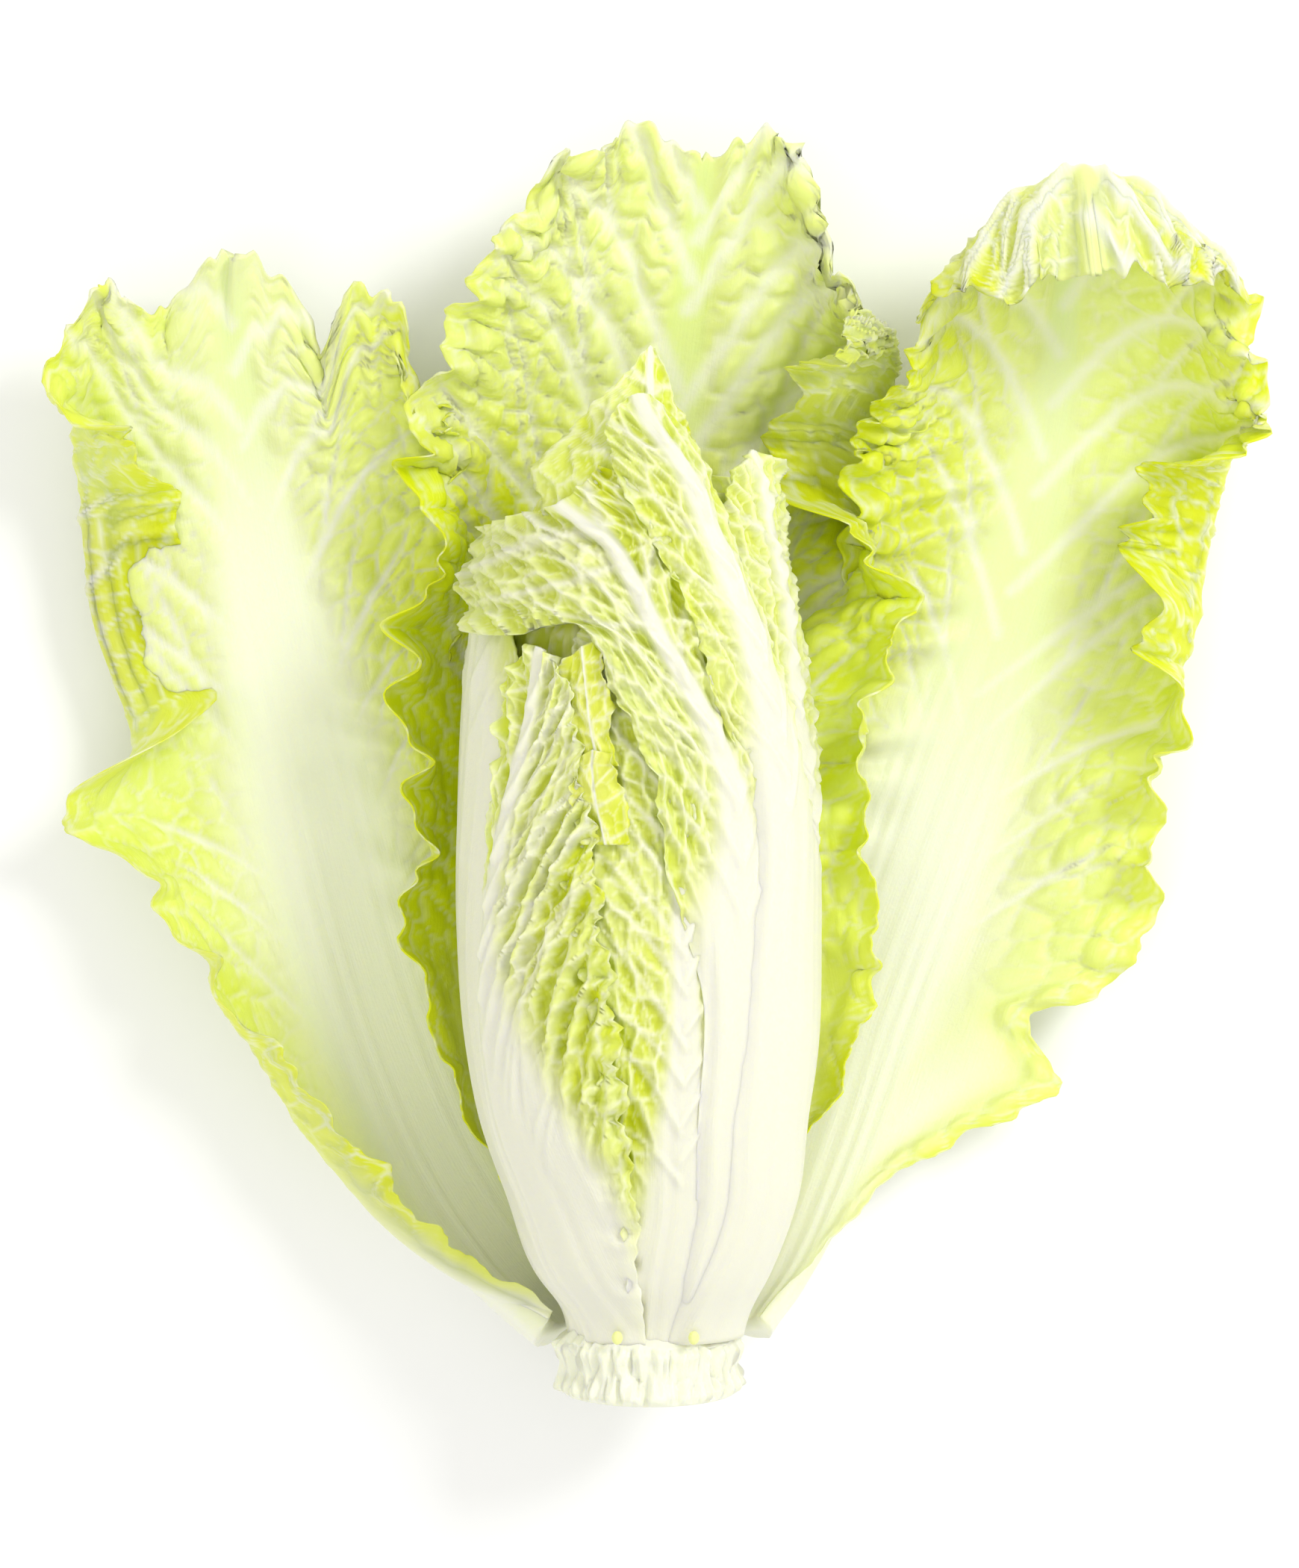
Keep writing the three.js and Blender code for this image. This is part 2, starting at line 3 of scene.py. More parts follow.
import bpy
import numpy as np
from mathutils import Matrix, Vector


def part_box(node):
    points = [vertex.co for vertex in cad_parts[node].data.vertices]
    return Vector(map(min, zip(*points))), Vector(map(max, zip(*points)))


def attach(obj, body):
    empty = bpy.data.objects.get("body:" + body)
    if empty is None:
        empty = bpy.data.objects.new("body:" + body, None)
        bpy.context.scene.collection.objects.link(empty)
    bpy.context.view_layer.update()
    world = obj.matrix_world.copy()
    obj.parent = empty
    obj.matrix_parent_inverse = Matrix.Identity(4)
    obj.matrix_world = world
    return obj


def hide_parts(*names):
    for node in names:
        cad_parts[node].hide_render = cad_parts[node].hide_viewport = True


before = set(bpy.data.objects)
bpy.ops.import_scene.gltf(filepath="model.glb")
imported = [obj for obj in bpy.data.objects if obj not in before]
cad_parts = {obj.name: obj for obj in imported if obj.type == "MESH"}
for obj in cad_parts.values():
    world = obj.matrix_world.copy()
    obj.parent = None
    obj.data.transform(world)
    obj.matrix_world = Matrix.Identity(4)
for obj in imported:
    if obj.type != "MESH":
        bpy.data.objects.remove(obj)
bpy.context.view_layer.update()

# Lengths are millimetres in the head's own frame: x across it, y up from the cut, z off the table.
MM = 0.001
STUMP_START = 2.5
STUMP_TOP = 17.5
STUMP_HALF_WIDTH = 23.75
STUMP_HALF_DEPTH = 22.5
STUMP_AXIS_HEIGHT = 43
LEAF_FOOT = 17.9
HEART_HALF_WIDTH = 46.0
HEART_HALF_DEPTH = 43.0
HEART_AXIS_HEIGHT = 51.0
ARC_RADIUS = 45.0
LAYER_STEP = 2.1
BURIED = -2 * LAYER_STEP
OPEN_LEAF_THICKNESS = 0.95
HEART_LEAF_THICKNESS = 1.1
HEART_RIM_THICKNESS = 0.5
PHOTO_CENTRE_Y = 157.7
MARKS_PER_MM = 0.1

# The tables are written with the stump's axis at x 0, so the stump's box says where they stand.
stump_low, stump_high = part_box("stump")
SHIFT_X = (stump_low[0] + stump_high[0]) / 2 / MM
SHIFT_Y = stump_low[1] / MM - STUMP_START

DETAIL = 1.0


# ---------------------------------------------------------------- numbers
def through(rows, at):
    """Smooth curve through rows of [knot, value, ...]; one row of values for each number in at."""
    table = np.array(rows, float)
    knots, values = table[:, 0], table[:, 1:]
    place = np.clip(np.asarray(at, float), knots[0], knots[-1])
    spacing = np.diff(knots)[:, None]
    rise = np.diff(values, axis=0) / spacing
    slope = np.empty_like(values)
    slope[0], slope[-1] = rise[0], rise[-1]
    slope[1:-1] = (rise[:-1] * spacing[1:] + rise[1:] * spacing[:-1]) / (spacing[1:] + spacing[:-1])
    i = np.clip(np.searchsorted(knots, place, side="right") - 1, 0, len(knots) - 2)
    gap = (knots[i + 1] - knots[i])[..., None]
    t = (place - knots[i])[..., None] / gap
    start = (2 * t**3 - 3 * t**2 + 1) * values[i] + (t**3 - 2 * t**2 + t) * gap * slope[i]
    end = (3 * t**2 - 2 * t**3) * values[i + 1] + (t**3 - t**2) * gap * slope[i + 1]
    return start + end


def numbered(table):
    return [[index, *row] for index, row in enumerate(table)]


def ramp(start, end, x):
    """Smooth climb from 0 at start to 1 at end; start may be the larger of the two."""
    t = np.clip((x - start) / (end - start), 0, 1)
    return t * t * (3 - 2 * t)


def unit(v):
    return v / np.maximum(np.linalg.norm(v, axis=-1, keepdims=True), 1e-9)


def scatter(a, b, seed):
    """A repeatable number from 0 to 1 for each whole pair a, b: the usual sine hash."""
    x = np.sin(a * 127.1 + b * 311.7 + seed * 74.7) * 43758.5453
    return x - np.floor(x)


def noise(x, y, seed):
    """Smooth noise from -1 to 1."""
    ix, iy = np.floor(x), np.floor(y)
    fx, fy = x - ix, y - iy
    fx, fy = fx * fx * (3 - 2 * fx), fy * fy * (3 - 2 * fy)
    low = scatter(ix, iy, seed) * (1 - fx) + scatter(ix + 1, iy, seed) * fx
    high = scatter(ix, iy + 1, seed) * (1 - fx) + scatter(ix + 1, iy + 1, seed) * fx
    return 2 * (low * (1 - fy) + high * fy) - 1


def cells(x, y, seed):
    """How far each place is from the border of its random cell: 0 on the border, about 1 inside."""
    ix, iy = np.floor(x), np.floor(y)
    near = np.full(x.shape, 9.0)
    second = np.full(x.shape, 9.0)
    for dx in (-1, 0, 1):
        for dy in (-1, 0, 1):
            cx, cy = ix + dx, iy + dy
            # Each cell's middle keeps away from the sides of its unit square.
            px = cx + 0.15 + 0.7 * scatter(cx, cy, seed)
            py = cy + 0.15 + 0.7 * scatter(cx, cy, seed + 1)
            d = np.hypot(x - px, y - py)
            second = np.minimum(second, np.maximum(near, d))
            near = np.minimum(near, d)
    return second - near


def wave(x, seed):
    """An uneven wave from about -1 to 1 along x, one swing for each 2 units."""
    bend = 0.9 * noise(x * 0.45, np.full_like(x, 7.3), seed)
    tall = 0.65 + 0.35 * noise(x * 0.6, np.full_like(x, 3.1), seed + 2)
    return np.sin(np.pi * x + bend * np.pi) * tall


# ---------------------------------------------------------------- veins
VEIN_POINTS = 9
FORK_POINTS = 5
# Where a fork leaves its vein, as a point of the vein, and how much it turns up from the vein.
FORKS = ((3, 0.6), (5, -0.5))


def vein_field(u, v, curves):
    """Mask and ridge height of the veins at places u, v. A curve is (points of v and u, start, end),
    and start and end are its half-widths there."""
    mask = np.zeros(u.shape)
    ridge = np.zeros(u.shape)
    for points, start, end in curves:
        line = np.array(points, float)
        margin = 3.2 * start
        inside = (
            (v > line[:, 0].min() - margin) & (v < line[:, 0].max() + margin)
            & (u > line[:, 1].min() - margin) & (u < line[:, 1].max() + margin)
        )
        if not inside.any():
            continue
        near_v, near_u = v[inside], u[inside]
        near_mask, near_ridge = mask[inside], ridge[inside]
        pieces = len(line) - 1
        for k in range(pieces):
            a, b = line[k], line[k + 1]
            d = b - a
            t = np.clip(((near_v - a[0]) * d[0] + (near_u - a[1]) * d[1]) / max(d @ d, 1e-9), 0, 1)
            away = np.hypot(near_v - a[0] - d[0] * t, near_u - a[1] - d[1] * t)
            width = start + (end - start) * (k + t) / pieces
            bell = np.exp(-((away / width) ** 2))
            near_mask = np.maximum(near_mask, bell * np.clip(width / 0.9, 0, 1))
            near_ridge = np.maximum(near_ridge, bell * width)
        mask[inside], ridge[inside] = near_mask, near_ridge
    return mask, ridge


def side_veins(first, last, gap, span_at, slope, start, end, seed, sides=(-1, 1)):
    """Side veins that leave the rib every gap mm and run out and up, each with two forks."""
    curves = []
    rng = np.random.default_rng(seed)
    for side in sides:
        at = first + rng.uniform(0, gap * 0.6)
        while at < last:
            span = span_at(at, side) * rng.uniform(0.86, 1.0)
            lean = slope * rng.uniform(0.85, 1.2)
            bow = rng.uniform(0.1, 0.4)
            line = []
            for a in np.linspace(0, 1, VEIN_POINTS):
                line.append((side * a * span, at + lean * a * span * (1 - bow * a)))
            curves.append((line, start, end))
            for k, turn in FORKS:
                v0, u0 = line[k]
                length = span * (1 - k / 9) * rng.uniform(0.5, 0.8)
                fork = []
                for a in np.linspace(0, 1, FORK_POINTS):
                    fork_v = v0 + side * a * length * (1 - 0.4 * turn)
                    fork_u = u0 + lean * a * length * (1 + turn)
                    fork.append((fork_v, fork_u))
                fork_start = (start + (end - start) * k / 8) * 0.55
                curves.append((fork, fork_start, end * 0.8))
            at += gap * rng.uniform(0.8, 1.25)
    return curves


def net_lines(big, small, big_width, small_width, small_share):
    """The pale net along the borders of the big and the small cells."""
    return np.maximum(ramp(big_width, 0.0, big) * 0.8, ramp(small_width, 0.0, small) * small_share)


def tones(white, net, deep):
    """The tone attribute: how white and how netted each place is, and how far it goes towards the shaded
    green that paints shade.
    """
    return np.stack([white, net, deep, np.ones_like(white)], -1)


# ---------------------------------------------------------------- meshes
def build(name, points, faces, tone, marks):
    """Mesh object from points in mm and lists of faces, with tone and place attributes on the points."""
    corners = np.concatenate([np.ravel(group) for group in faces]).astype(np.int32)
    sizes = np.concatenate([np.full(len(group), np.shape(group)[1], np.int32) for group in faces])
    mesh = bpy.data.meshes.new(name)
    mesh.vertices.add(len(points))
    placed = (points + [SHIFT_X, SHIFT_Y, 0]) * MM
    mesh.vertices.foreach_set("co", placed.astype(np.float32).ravel())
    mesh.loops.add(len(corners))
    mesh.loops.foreach_set("vertex_index", corners)
    mesh.polygons.add(len(sizes))
    mesh.polygons.foreach_set("loop_start", (np.cumsum(sizes) - sizes).astype(np.int32))
    mesh.update(calc_edges=True)
    mesh.polygons.foreach_set("use_smooth", np.ones(len(sizes), bool))
    tone_layer = mesh.color_attributes.new("tone", "FLOAT_COLOR", "POINT")
    tone_layer.data.foreach_set("color", tone.astype(np.float32).ravel())
    place_layer = mesh.uv_layers.new(name="place")
    place_layer.data.foreach_set("uv", marks[corners].astype(np.float32).ravel())
    mesh.validate()
    piece = bpy.data.objects.new(name, mesh)
    bpy.context.scene.collection.objects.link(piece)
    return piece


def sheet(name, front, back, tone, u, v):
    """One closed leaf: front face, back face and rim."""
    rows, columns = front.shape[:2]
    face_points = rows * columns
    number = np.arange(face_points).reshape(rows, columns)
    a, b = number[:-1, :-1].ravel(), number[:-1, 1:].ravel()
    c, d = number[1:, 1:].ravel(), number[1:, :-1].ravel()
    rim = np.concatenate([number[0, :-1], number[:-1, -1], number[-1, :0:-1], number[:0:-1, 0]])
    after = np.roll(rim, -1)
    faces = [
        np.stack([a, b, c, d], 1),
        np.stack([a, d, c, b], 1) + face_points,
        np.stack([rim, rim + face_points, after + face_points, after], 1),
    ]
    points = np.concatenate([front.reshape(-1, 3), back.reshape(-1, 3)])
    marks = np.stack([u, v], -1) * MARKS_PER_MM
    both_tones = np.concatenate([tone.reshape(-1, 4)] * 2)
    both_marks = np.concatenate([marks.reshape(-1, 2)] * 2)
    return build(name, points, faces, both_tones, both_marks)


def ringed(name, rings, tone):
    """Closed body of rings; each end is filled with rings that shrink to a small face."""
    rings = np.array(rings)
    first, final = rings[0].mean(0), rings[-1].mean(0)
    shrink = [0.02, 0.35, 0.7]
    below = [first + (rings[0] - first) * k for k in shrink]
    above = [final + (rings[-1] - final) * k for k in reversed(shrink)]
    tone = np.array(tone, float)
    if tone.ndim == 1:
        tone = np.tile(tone, (*rings.shape[:2], 1))
    tone = np.concatenate([tone[:1]] * len(shrink) + [tone] + [tone[-1:]] * len(shrink))
    rings = np.concatenate([below, rings, above])
    ring_count, around = rings.shape[:2]
    number = np.arange(ring_count * around).reshape(ring_count, around)
    after = np.roll(number, -1, axis=1)
    quads = np.stack([number[:-1], after[:-1], after[1:], number[1:]], -1).reshape(-1, 4)
    points = rings.reshape(-1, 3)
    marks = (points[:, [1, 0]] + [SHIFT_Y, SHIFT_X]) * MARKS_PER_MM
    faces = [quads, number[:1, ::-1], number[-1:]]
    return build(name, points, faces, tone.reshape(-1, 4), marks)


def normals(grid):
    along = np.gradient(grid, axis=0)
    across = np.gradient(grid, axis=1)
    return unit(np.cross(across, along))


# ---------------------------------------------------------------- opened leaves
# A pitch is half the length of one swing of a wave, in mm.
RUFFLE_PITCH = 13.0
SMALL_RUFFLE_PITCH = 5.5
LOBE_PITCH = 9.0
TOOTH_PITCH = 2.6
FRILL_PITCH = 1.3
TIP_LOBE_PITCH = 7.5
TIP_TOOTH_PITCH = 3.1
TIP_LIFT_PITCH = 11.0
RUFFLE_SHARE = 0.66
BIG_CELL = (9.0, 8.0)
SMALL_CELL = (4.2, 4.0)
OPEN_VEIN_SLOPE = 1.75
OPEN_VEIN_WIDTHS = (3.0, 0.45)


def rib_frame(leaf, rows):
    """Even rows along the rib: table station, distance along it, place, and the directions
    along, up and aside."""
    rib = numbered(leaf["rib"])
    samples = np.linspace(0, len(rib) - 1, 600)
    spine = through(rib, samples)[:, :3]
    run = np.concatenate([[0], np.cumsum(np.linalg.norm(np.diff(spine, axis=0), axis=1))])
    distance = np.linspace(0, run[-1], rows)
    station = np.interp(distance, run, samples)
    values = through(rib, station)
    origin, up = values[:, :3], values[:, 3:]
    along = unit(np.gradient(origin, axis=0))
    up = unit(up - (up * along).sum(1, keepdims=True) * along)
    aside = np.cross(along, up)
    return station, distance, origin[:, None], along[:, None], up[:, None], aside[:, None]


def half_leaf(leaf, sign, key, rib, columns):
    """One side of an opened leaf: places, distance from the rib, and reach, 0 there and 1 at the margin."""
    station, distance, origin, along, up, aside = rib
    seed = leaf["seed"]
    length = distance[-1]
    reach = np.linspace(0, 1, columns)[None] ** 0.92
    u = distance[:, None] + 0 * reach
    width, lean, curl = through(leaf[key], station).T[:, :, None]
    ruffle = RUFFLE_SHARE * through(leaf["ruffle"], station)[:, 0:1]
    broad_swing = wave(u / RUFFLE_PITCH + 0.5 * sign, seed + sign)
    swing = broad_swing + 0.45 * wave(u / SMALL_RUFFLE_PITCH, seed + 9 + sign)
    # The turn of the blade is taken halfway between one column and the next.
    middle = np.concatenate([reach[:, :1], (reach[:, 1:] + reach[:, :-1]) / 2], 1)
    fold = through(leaf["fold"][key], station)[:, 0:1]
    bend = (1 - fold) * middle ** leaf["power"] + fold * ramp(0.5, 0.77, middle)
    turn = np.radians(lean + curl * bend + ruffle * swing * ramp(0.45, 1.0, middle) ** 1.3)
    lobes = 1.8 * wave(u / LOBE_PITCH, seed + 20 + sign) + 0.6 * wave(u / TOOTH_PITCH, seed + 30 + sign)
    lobes = lobes + 0.35 * np.abs(wave(u / FRILL_PITCH, seed + 40 + sign))
    arc = width * reach + lobes * ramp(0.8, 1.0, reach) * np.clip(width / 30, 0.1, 1)
    pace = np.diff(arc, axis=1, prepend=0)
    out = np.cumsum(np.cos(turn) * pace, axis=1)
    high = np.cumsum(np.sin(turn) * pace, axis=1)
    sway = wave(u / RUFFLE_PITCH + 0.5 + 0.5 * sign, seed + sign) * np.clip(ruffle / 30, 0, 1.4)
    sway = 1.4 * ramp(0.45, 1.0, reach) ** 1.3 * sway
    grid = origin + sign * out[..., None] * aside + high[..., None] * up + sway[..., None] * along
    # The tip: its outline, its small lobes, and how far it droops and lifts.
    end = through(leaf["tip"], sign * arc)[..., 0] + 1.3 * wave(arc / TIP_TOOTH_PITCH, seed + 60 + sign)
    end = end + 2.2 * wave(arc / TIP_LOBE_PITCH, seed + 64 + sign)
    grid = grid + (end * ramp(length - 70, length, u))[..., None] * along
    grid[..., 1] -= leaf["droop"] * np.minimum(arc, 42) ** 2 * ramp(length * 0.62, length * 0.86, u)
    lift = 3.5 * wave(arc / TIP_LIFT_PITCH, seed + 68 + sign)
    lift = lift * ramp(length - 26, length, u) * ramp(1.0, 0.75, reach)
    grid = grid + lift[..., None] * up
    return grid, sign * arc, reach + 0 * arc


def open_leaf(name, leaf, rows, columns):
    """An opened leaf, laid along its rib, with side veins, blisters, pleats and a rolled margin."""
    rib = rib_frame(leaf, rows)
    station, distance = rib[:2]
    left = half_leaf(leaf, -1, "left", rib, columns)
    right = half_leaf(leaf, 1, "right", rib, columns)
    grid, v, reach = [np.concatenate([a[:, :0:-1], b], 1) for a, b in zip(left, right)]
    u = distance[:, None] + 0 * v
    stations = station[:, None] + 0 * v
    seed = leaf["seed"]
    length = u.max()
    rib_thickness, rib_half = through(numbered(leaf["thick"]), station).T[:, :, None]
    side = np.abs(v)
    from_rib = side / np.maximum(rib_half, 1)

    def span(at, sign):
        row = int(np.clip(at / length * (rows - 1), 0, rows - 1))
        edge = 0 if sign < 0 else -1
        return abs(v[row, edge]) * 0.93

    curves = side_veins(
        leaf["veins_from"], length - 14, leaf["vein_gap"], span, OPEN_VEIN_SLOPE, *OPEN_VEIN_WIDTHS, seed,
    )
    mask, ridge = vein_field(u, v, curves)
    warp_u = u + 3.0 * noise(u / 14, v / 14, seed + 50)
    warp_v = v + 3.0 * noise(u / 14, v / 14, seed + 51)
    # The net leans with the side veins.
    lean_u = warp_u - 0.45 * np.abs(warp_v)
    big = cells(lean_u / BIG_CELL[0], warp_v / BIG_CELL[1], seed + 60)
    small = cells(lean_u / SMALL_CELL[0], warp_v / SMALL_CELL[1], seed + 70)
    blade = ramp(0.55, 1.5, from_rib) * ramp(leaf["bare"], leaf["bare"] + 60, u)
    blade = np.maximum(blade, ramp(0.72, 0.95, reach) * ramp(18, 60, u))

    # Blisters stay low on the veins, at the rim and where the margin is rolled over tightly.
    rolled = [through(leaf["fold"][key], stations)[..., 0] for key in ("left", "right")]
    tight = np.where(v < 0, rolled[0], rolled[1]) * ramp(0.4, 0.6, reach)
    puff = (1 - np.exp(-3.4 * big)) * 2.3 + (1 - np.exp(-3.0 * small)) * 0.7
    puff = puff * (1 - 0.85 * mask) * blade * leaf["puff"] * (0.6 + 0.6 * reach) * ramp(1.0, 0.82, reach)
    puff = puff * (1 - 0.5 * tight) * (1 - leaf["smooth_base"] * ramp(235, 165, u))
    groove = 0.35 * ridge * blade
    pleat = leaf["pleat"] * wave((u - 0.85 * side) / 17.0, seed + 90) * blade * ramp(0.2, 0.7, reach)
    crumple = 1.6 * noise(u / 26, v / 17, seed + 80) * blade * (1 - 0.7 * tight)
    tall, first, final, near, far = leaf["crease"]
    creased = ramp(first - 15, first + 15, u) * ramp(final + 20, final - 15, u)
    creased = creased * ramp(near - 6, near + 8, v) * ramp(far + 4, far - 12, v)
    crumple = crumple + tall * creased * wave((u + 0.5 * side) / 8.5, seed + 93)
    rise = puff - groove + (crumple + pleat * (1 - 0.7 * tight)) * ramp(1.06, 0.86, reach)
    # Shallow channels run along the rib.
    rise = rise + 0.22 * wave(v / 2.6, seed + 95) * ramp(1.05, 0.6, from_rib)

    facing = normals(grid)
    front = grid + facing * rise[..., None]
    thin_rim = 1 - 0.55 * ramp(0.85, 1.0, reach)
    rib_depth = rib_thickness * (1 - np.clip(from_rib, 0, 1) ** 3)
    depth = OPEN_LEAF_THICKNESS * thin_rim + rib_depth + 0.5 * ridge * blade
    back = front - facing * depth[..., None]
    # Nothing goes through the table.
    back[..., 2] = np.maximum(back[..., 2], 0.02)
    front[..., 2] = np.maximum(front[..., 2], back[..., 2] + 0.5)

    fade = 1 - leaf["rib_fade"] * ramp(130, 215, u)
    white_rib = ramp(1.9, 0.5, from_rib) * leaf["rib_white"] * ramp(length, length * 0.7, u) * fade
    white_foot = ramp(leaf["bare"] + 50, leaf["bare"] - 30, u) * ramp(1.0, 0.55, reach)
    white = np.clip(np.maximum(np.maximum(white_rib, white_foot), mask * 0.85), 0, 1)
    white = np.maximum(white, 0.42 * ramp(0.55, 0.1, reach) * fade)
    # Painted shade: the deep share turns the blade towards the shaded green where it lies beside and under
    # the heart and other leaves, in the low places between blisters, inside a tight roll and at the margins;
    # the noise is uneven tone of the leaf.
    deep = leaf["deep"](u, v) * np.maximum(ramp(0.05, 0.6, reach), leaf["deep_rib"])
    deep = deep + 0.30 * ramp(1.1, -0.6, rise) * blade + 0.25 * tight
    deep = deep + leaf["edge_shade"] * ramp(0.62, 0.95, reach) + 0.12 * noise(u / 20, v / 20, seed + 99)
    net = net_lines(big, small, 0.16, 0.12, 0.4) * blade
    return sheet(name, front, back, tones(white, net, np.clip(deep, 0, 1)), u, v)


# ---------------------------------------------------------------- the heart
# Rows of [y, sideways shift, half-width, axis height, half-depth], all but y as shares of the heart's.
BARREL = [
    [15, 0.01, 0.47, 0.83, 0.47],
    [24, 0.01, 0.52, 0.86, 0.54],
    [34, 0.0, 0.65, 0.89, 0.66],
    [53, 0.0, 0.8, 0.93, 0.8],
    [72, -0.02, 0.9, 0.97, 0.9],
    [92, -0.025, 0.97, 0.99, 0.96],
    [120, -0.03, 1.0, 1.0, 1.0],
    [155, -0.025, 1.0, 1.0, 1.0],
    [190, -0.03, 0.94, 1.0, 0.98],
    [215, -0.04, 0.82, 1.01, 0.88],
    [240, -0.02, 0.57, 1.02, 0.66],
    [256, -0.01, 0.3, 1.06, 0.4],
    [270, 0.0, 0.1, 1.1, 0.16],
]

# Heights and pitches are in mm; a pitch is half the length of one swing of a wave.
MARGIN_PITCH = 8.0
MARGIN_TOOTH_PITCH = 2.3
MARGIN_FRILL_PITCH = 1.2
BOUNCE_PITCH = 6.5
SMALL_BOUNCE_PITCH = 3.0
HEART_BIG_CELL = (8.5, 6.0)
HEART_SMALL_CELL = (3.6, 3.0)
HEART_VEIN_END = 0.5


def on_heart(arc, y, out):
    """The place arc mm round the heart from its front, at height y, and out mm off its surface."""
    shift, wide, high, deep = np.moveaxis(through(BARREL, y), -1, 0)
    angle = arc / ARC_RADIUS
    half_width = np.maximum(wide * HEART_HALF_WIDTH + out, 0.6)
    half_depth = np.maximum(deep * HEART_HALF_DEPTH + out, 0.6)
    x = shift * 2 * HEART_HALF_WIDTH + half_width * np.sin(angle)
    z = high * HEART_AXIS_HEIGHT + half_depth * np.cos(angle)
    return np.stack([x, y, z], -1)


def wrapped_leaf(name, leaf, rows, columns):
    """A heart leaf that follows its path round the heart, with side veins, a net and ruffled margins."""
    path = numbered(leaf["path"])
    station = np.linspace(0, len(path) - 1, rows)
    left_arc, left_y, rib_arc, rib_y, right_arc, right_y = through(path, station).T[:, :, None]
    left_out, rib_out, right_out = through(leaf["out"], station).T[:, :, None]
    seed = leaf["seed"]
    across = np.linspace(-1, 1, columns)[None]
    to_left, to_right = np.maximum(-across, 0), np.maximum(across, 0)
    at_rib = 1 - to_left - to_right
    y = left_y * to_left + rib_y * at_rib + right_y * to_right
    arc = left_arc * to_left + rib_arc * at_rib + right_arc * to_right
    out = left_out * to_left + rib_out * at_rib + right_out * to_right
    left_ruffle, right_ruffle = through(leaf["ruffle"], station).T[:, :, None]
    for sign, reach, ruffle in ((-1, to_left, left_ruffle), (1, to_right, right_ruffle)):
        rim = ramp(0.82, 1.0, reach)
        lobes = 1.5 * wave(y / MARGIN_PITCH, seed + sign)
        teeth = lobes + 0.9 * wave(y / MARGIN_TOOTH_PITCH, seed + 3 + sign)
        teeth = teeth + 0.5 * np.abs(wave(y / MARGIN_FRILL_PITCH, seed + 5 + sign))
        arc = arc + sign * teeth * rim * np.clip(ruffle / 2.0, 0, 1.3)
        bounce = wave(y / BOUNCE_PITCH, seed + 7 + sign)
        bounce = bounce + 0.5 * wave(y / SMALL_BOUNCE_PITCH, seed + 11 + sign)
        out = out + ruffle * bounce * ramp(0.6, 1.0, reach) + 0.5 * ruffle * rim
    base = on_heart(arc, y, out)
    pace = np.linalg.norm(np.diff(base, axis=1), axis=2)
    v = np.concatenate([np.zeros((rows, 1)), np.cumsum(pace, axis=1)], 1)
    v = v - v[:, [columns // 2]]
    side = np.abs(v)

    def span(at, sign):
        row = int(np.clip(np.searchsorted(rib_y[:, 0], at), 0, rows - 1))
        return abs(v[row, 0 if sign < 0 else -1]) * 0.95

    curves = side_veins(
        leaf["veins_from"], rib_y.max() - 8, leaf["vein_gap"], span, leaf["vein_slope"],
        leaf["vein_width"], HEART_VEIN_END, seed, leaf.get("vein_sides", (-1, 1)),
    )
    for line, start, end in leaf.get("own_veins", []):
        wrapped = []
        for vein_arc, vein_y in line:
            nearest = np.hypot(arc - vein_arc, y - vein_y).argmin()
            wrapped.append((v.flat[nearest], vein_y))
        curves.append((wrapped, start, end))
    mask, ridge = vein_field(y, v, curves)
    bare_left, bare_rib, bare_right = leaf["bare"]
    above_bare = y - (bare_left * to_left + bare_rib * at_rib + bare_right * to_right)
    mask, ridge = mask * ramp(-26, 4, above_bare), ridge * ramp(-55, -8, above_bare)
    from_rib = side / through(leaf["rib_half"], y)[..., 0]
    on_rib = ramp(1.45, 0.55, from_rib)
    blade = ramp(-14, 16, above_bare) * (1 - on_rib)
    warp_y = y + 2.5 * noise(y / 11, v / 11, seed + 50)
    warp_v = v + 2.5 * noise(y / 11, v / 11, seed + 51)
    lean_y = warp_y - leaf["vein_slope"] * 0.25 * np.abs(warp_v)
    big = cells(lean_y / HEART_BIG_CELL[0], warp_v / HEART_BIG_CELL[1], seed + 60)
    small = cells(lean_y / HEART_SMALL_CELL[0], warp_v / HEART_SMALL_CELL[1], seed + 70)

    # The net stands up and the blisters between it sag.
    mesh_relief = leaf["puff"] * (1.3 * ramp(0.5, 0.0, big) + 0.5 * ramp(0.4, 0.0, small) - 0.8)
    rise = blade * mesh_relief + ridge * leaf["vein_height"] + 0.9 * noise(y / 16, v / 10, seed + 80) * blade
    pleat_height, pleat_lean, pleat_pitch = leaf.get("pleat", (0, 1, 1))
    pleats = pleat_height * wave((y - pleat_lean * side) / pleat_pitch, seed + 85)
    rise = rise + pleats * blade * ramp(1.0, 0.9, to_left + to_right)
    rise = rise + leaf["rib_height"] * on_rib * np.sqrt(np.clip(1 - (from_rib / 1.45) ** 2, 0, 1))
    channels = wave(v / 3.1 + 0.3 * noise(y / 60, v / 9, seed), seed + 95)
    rise = rise + 0.2 * channels * (1 - blade)
    left_fall, right_fall, fall_top = leaf.get("edge_fall", (0, 0, 0))
    fall = left_fall * ramp(0.5, 1.0, to_left) + right_fall * ramp(0.5, 1.0, to_right)
    rise = rise - ramp(fall_top + 25, fall_top, y) * fall

    facing = unit(on_heart(arc, y, out + 1) - base)
    front = base + facing * rise[..., None]
    at_margin = np.maximum(ramp(0.85, 1, to_left), ramp(0.85, 1, to_right))
    depth = HEART_LEAF_THICKNESS + (HEART_RIM_THICKNESS - HEART_LEAF_THICKNESS) * at_margin
    back = front - facing * depth[..., None]

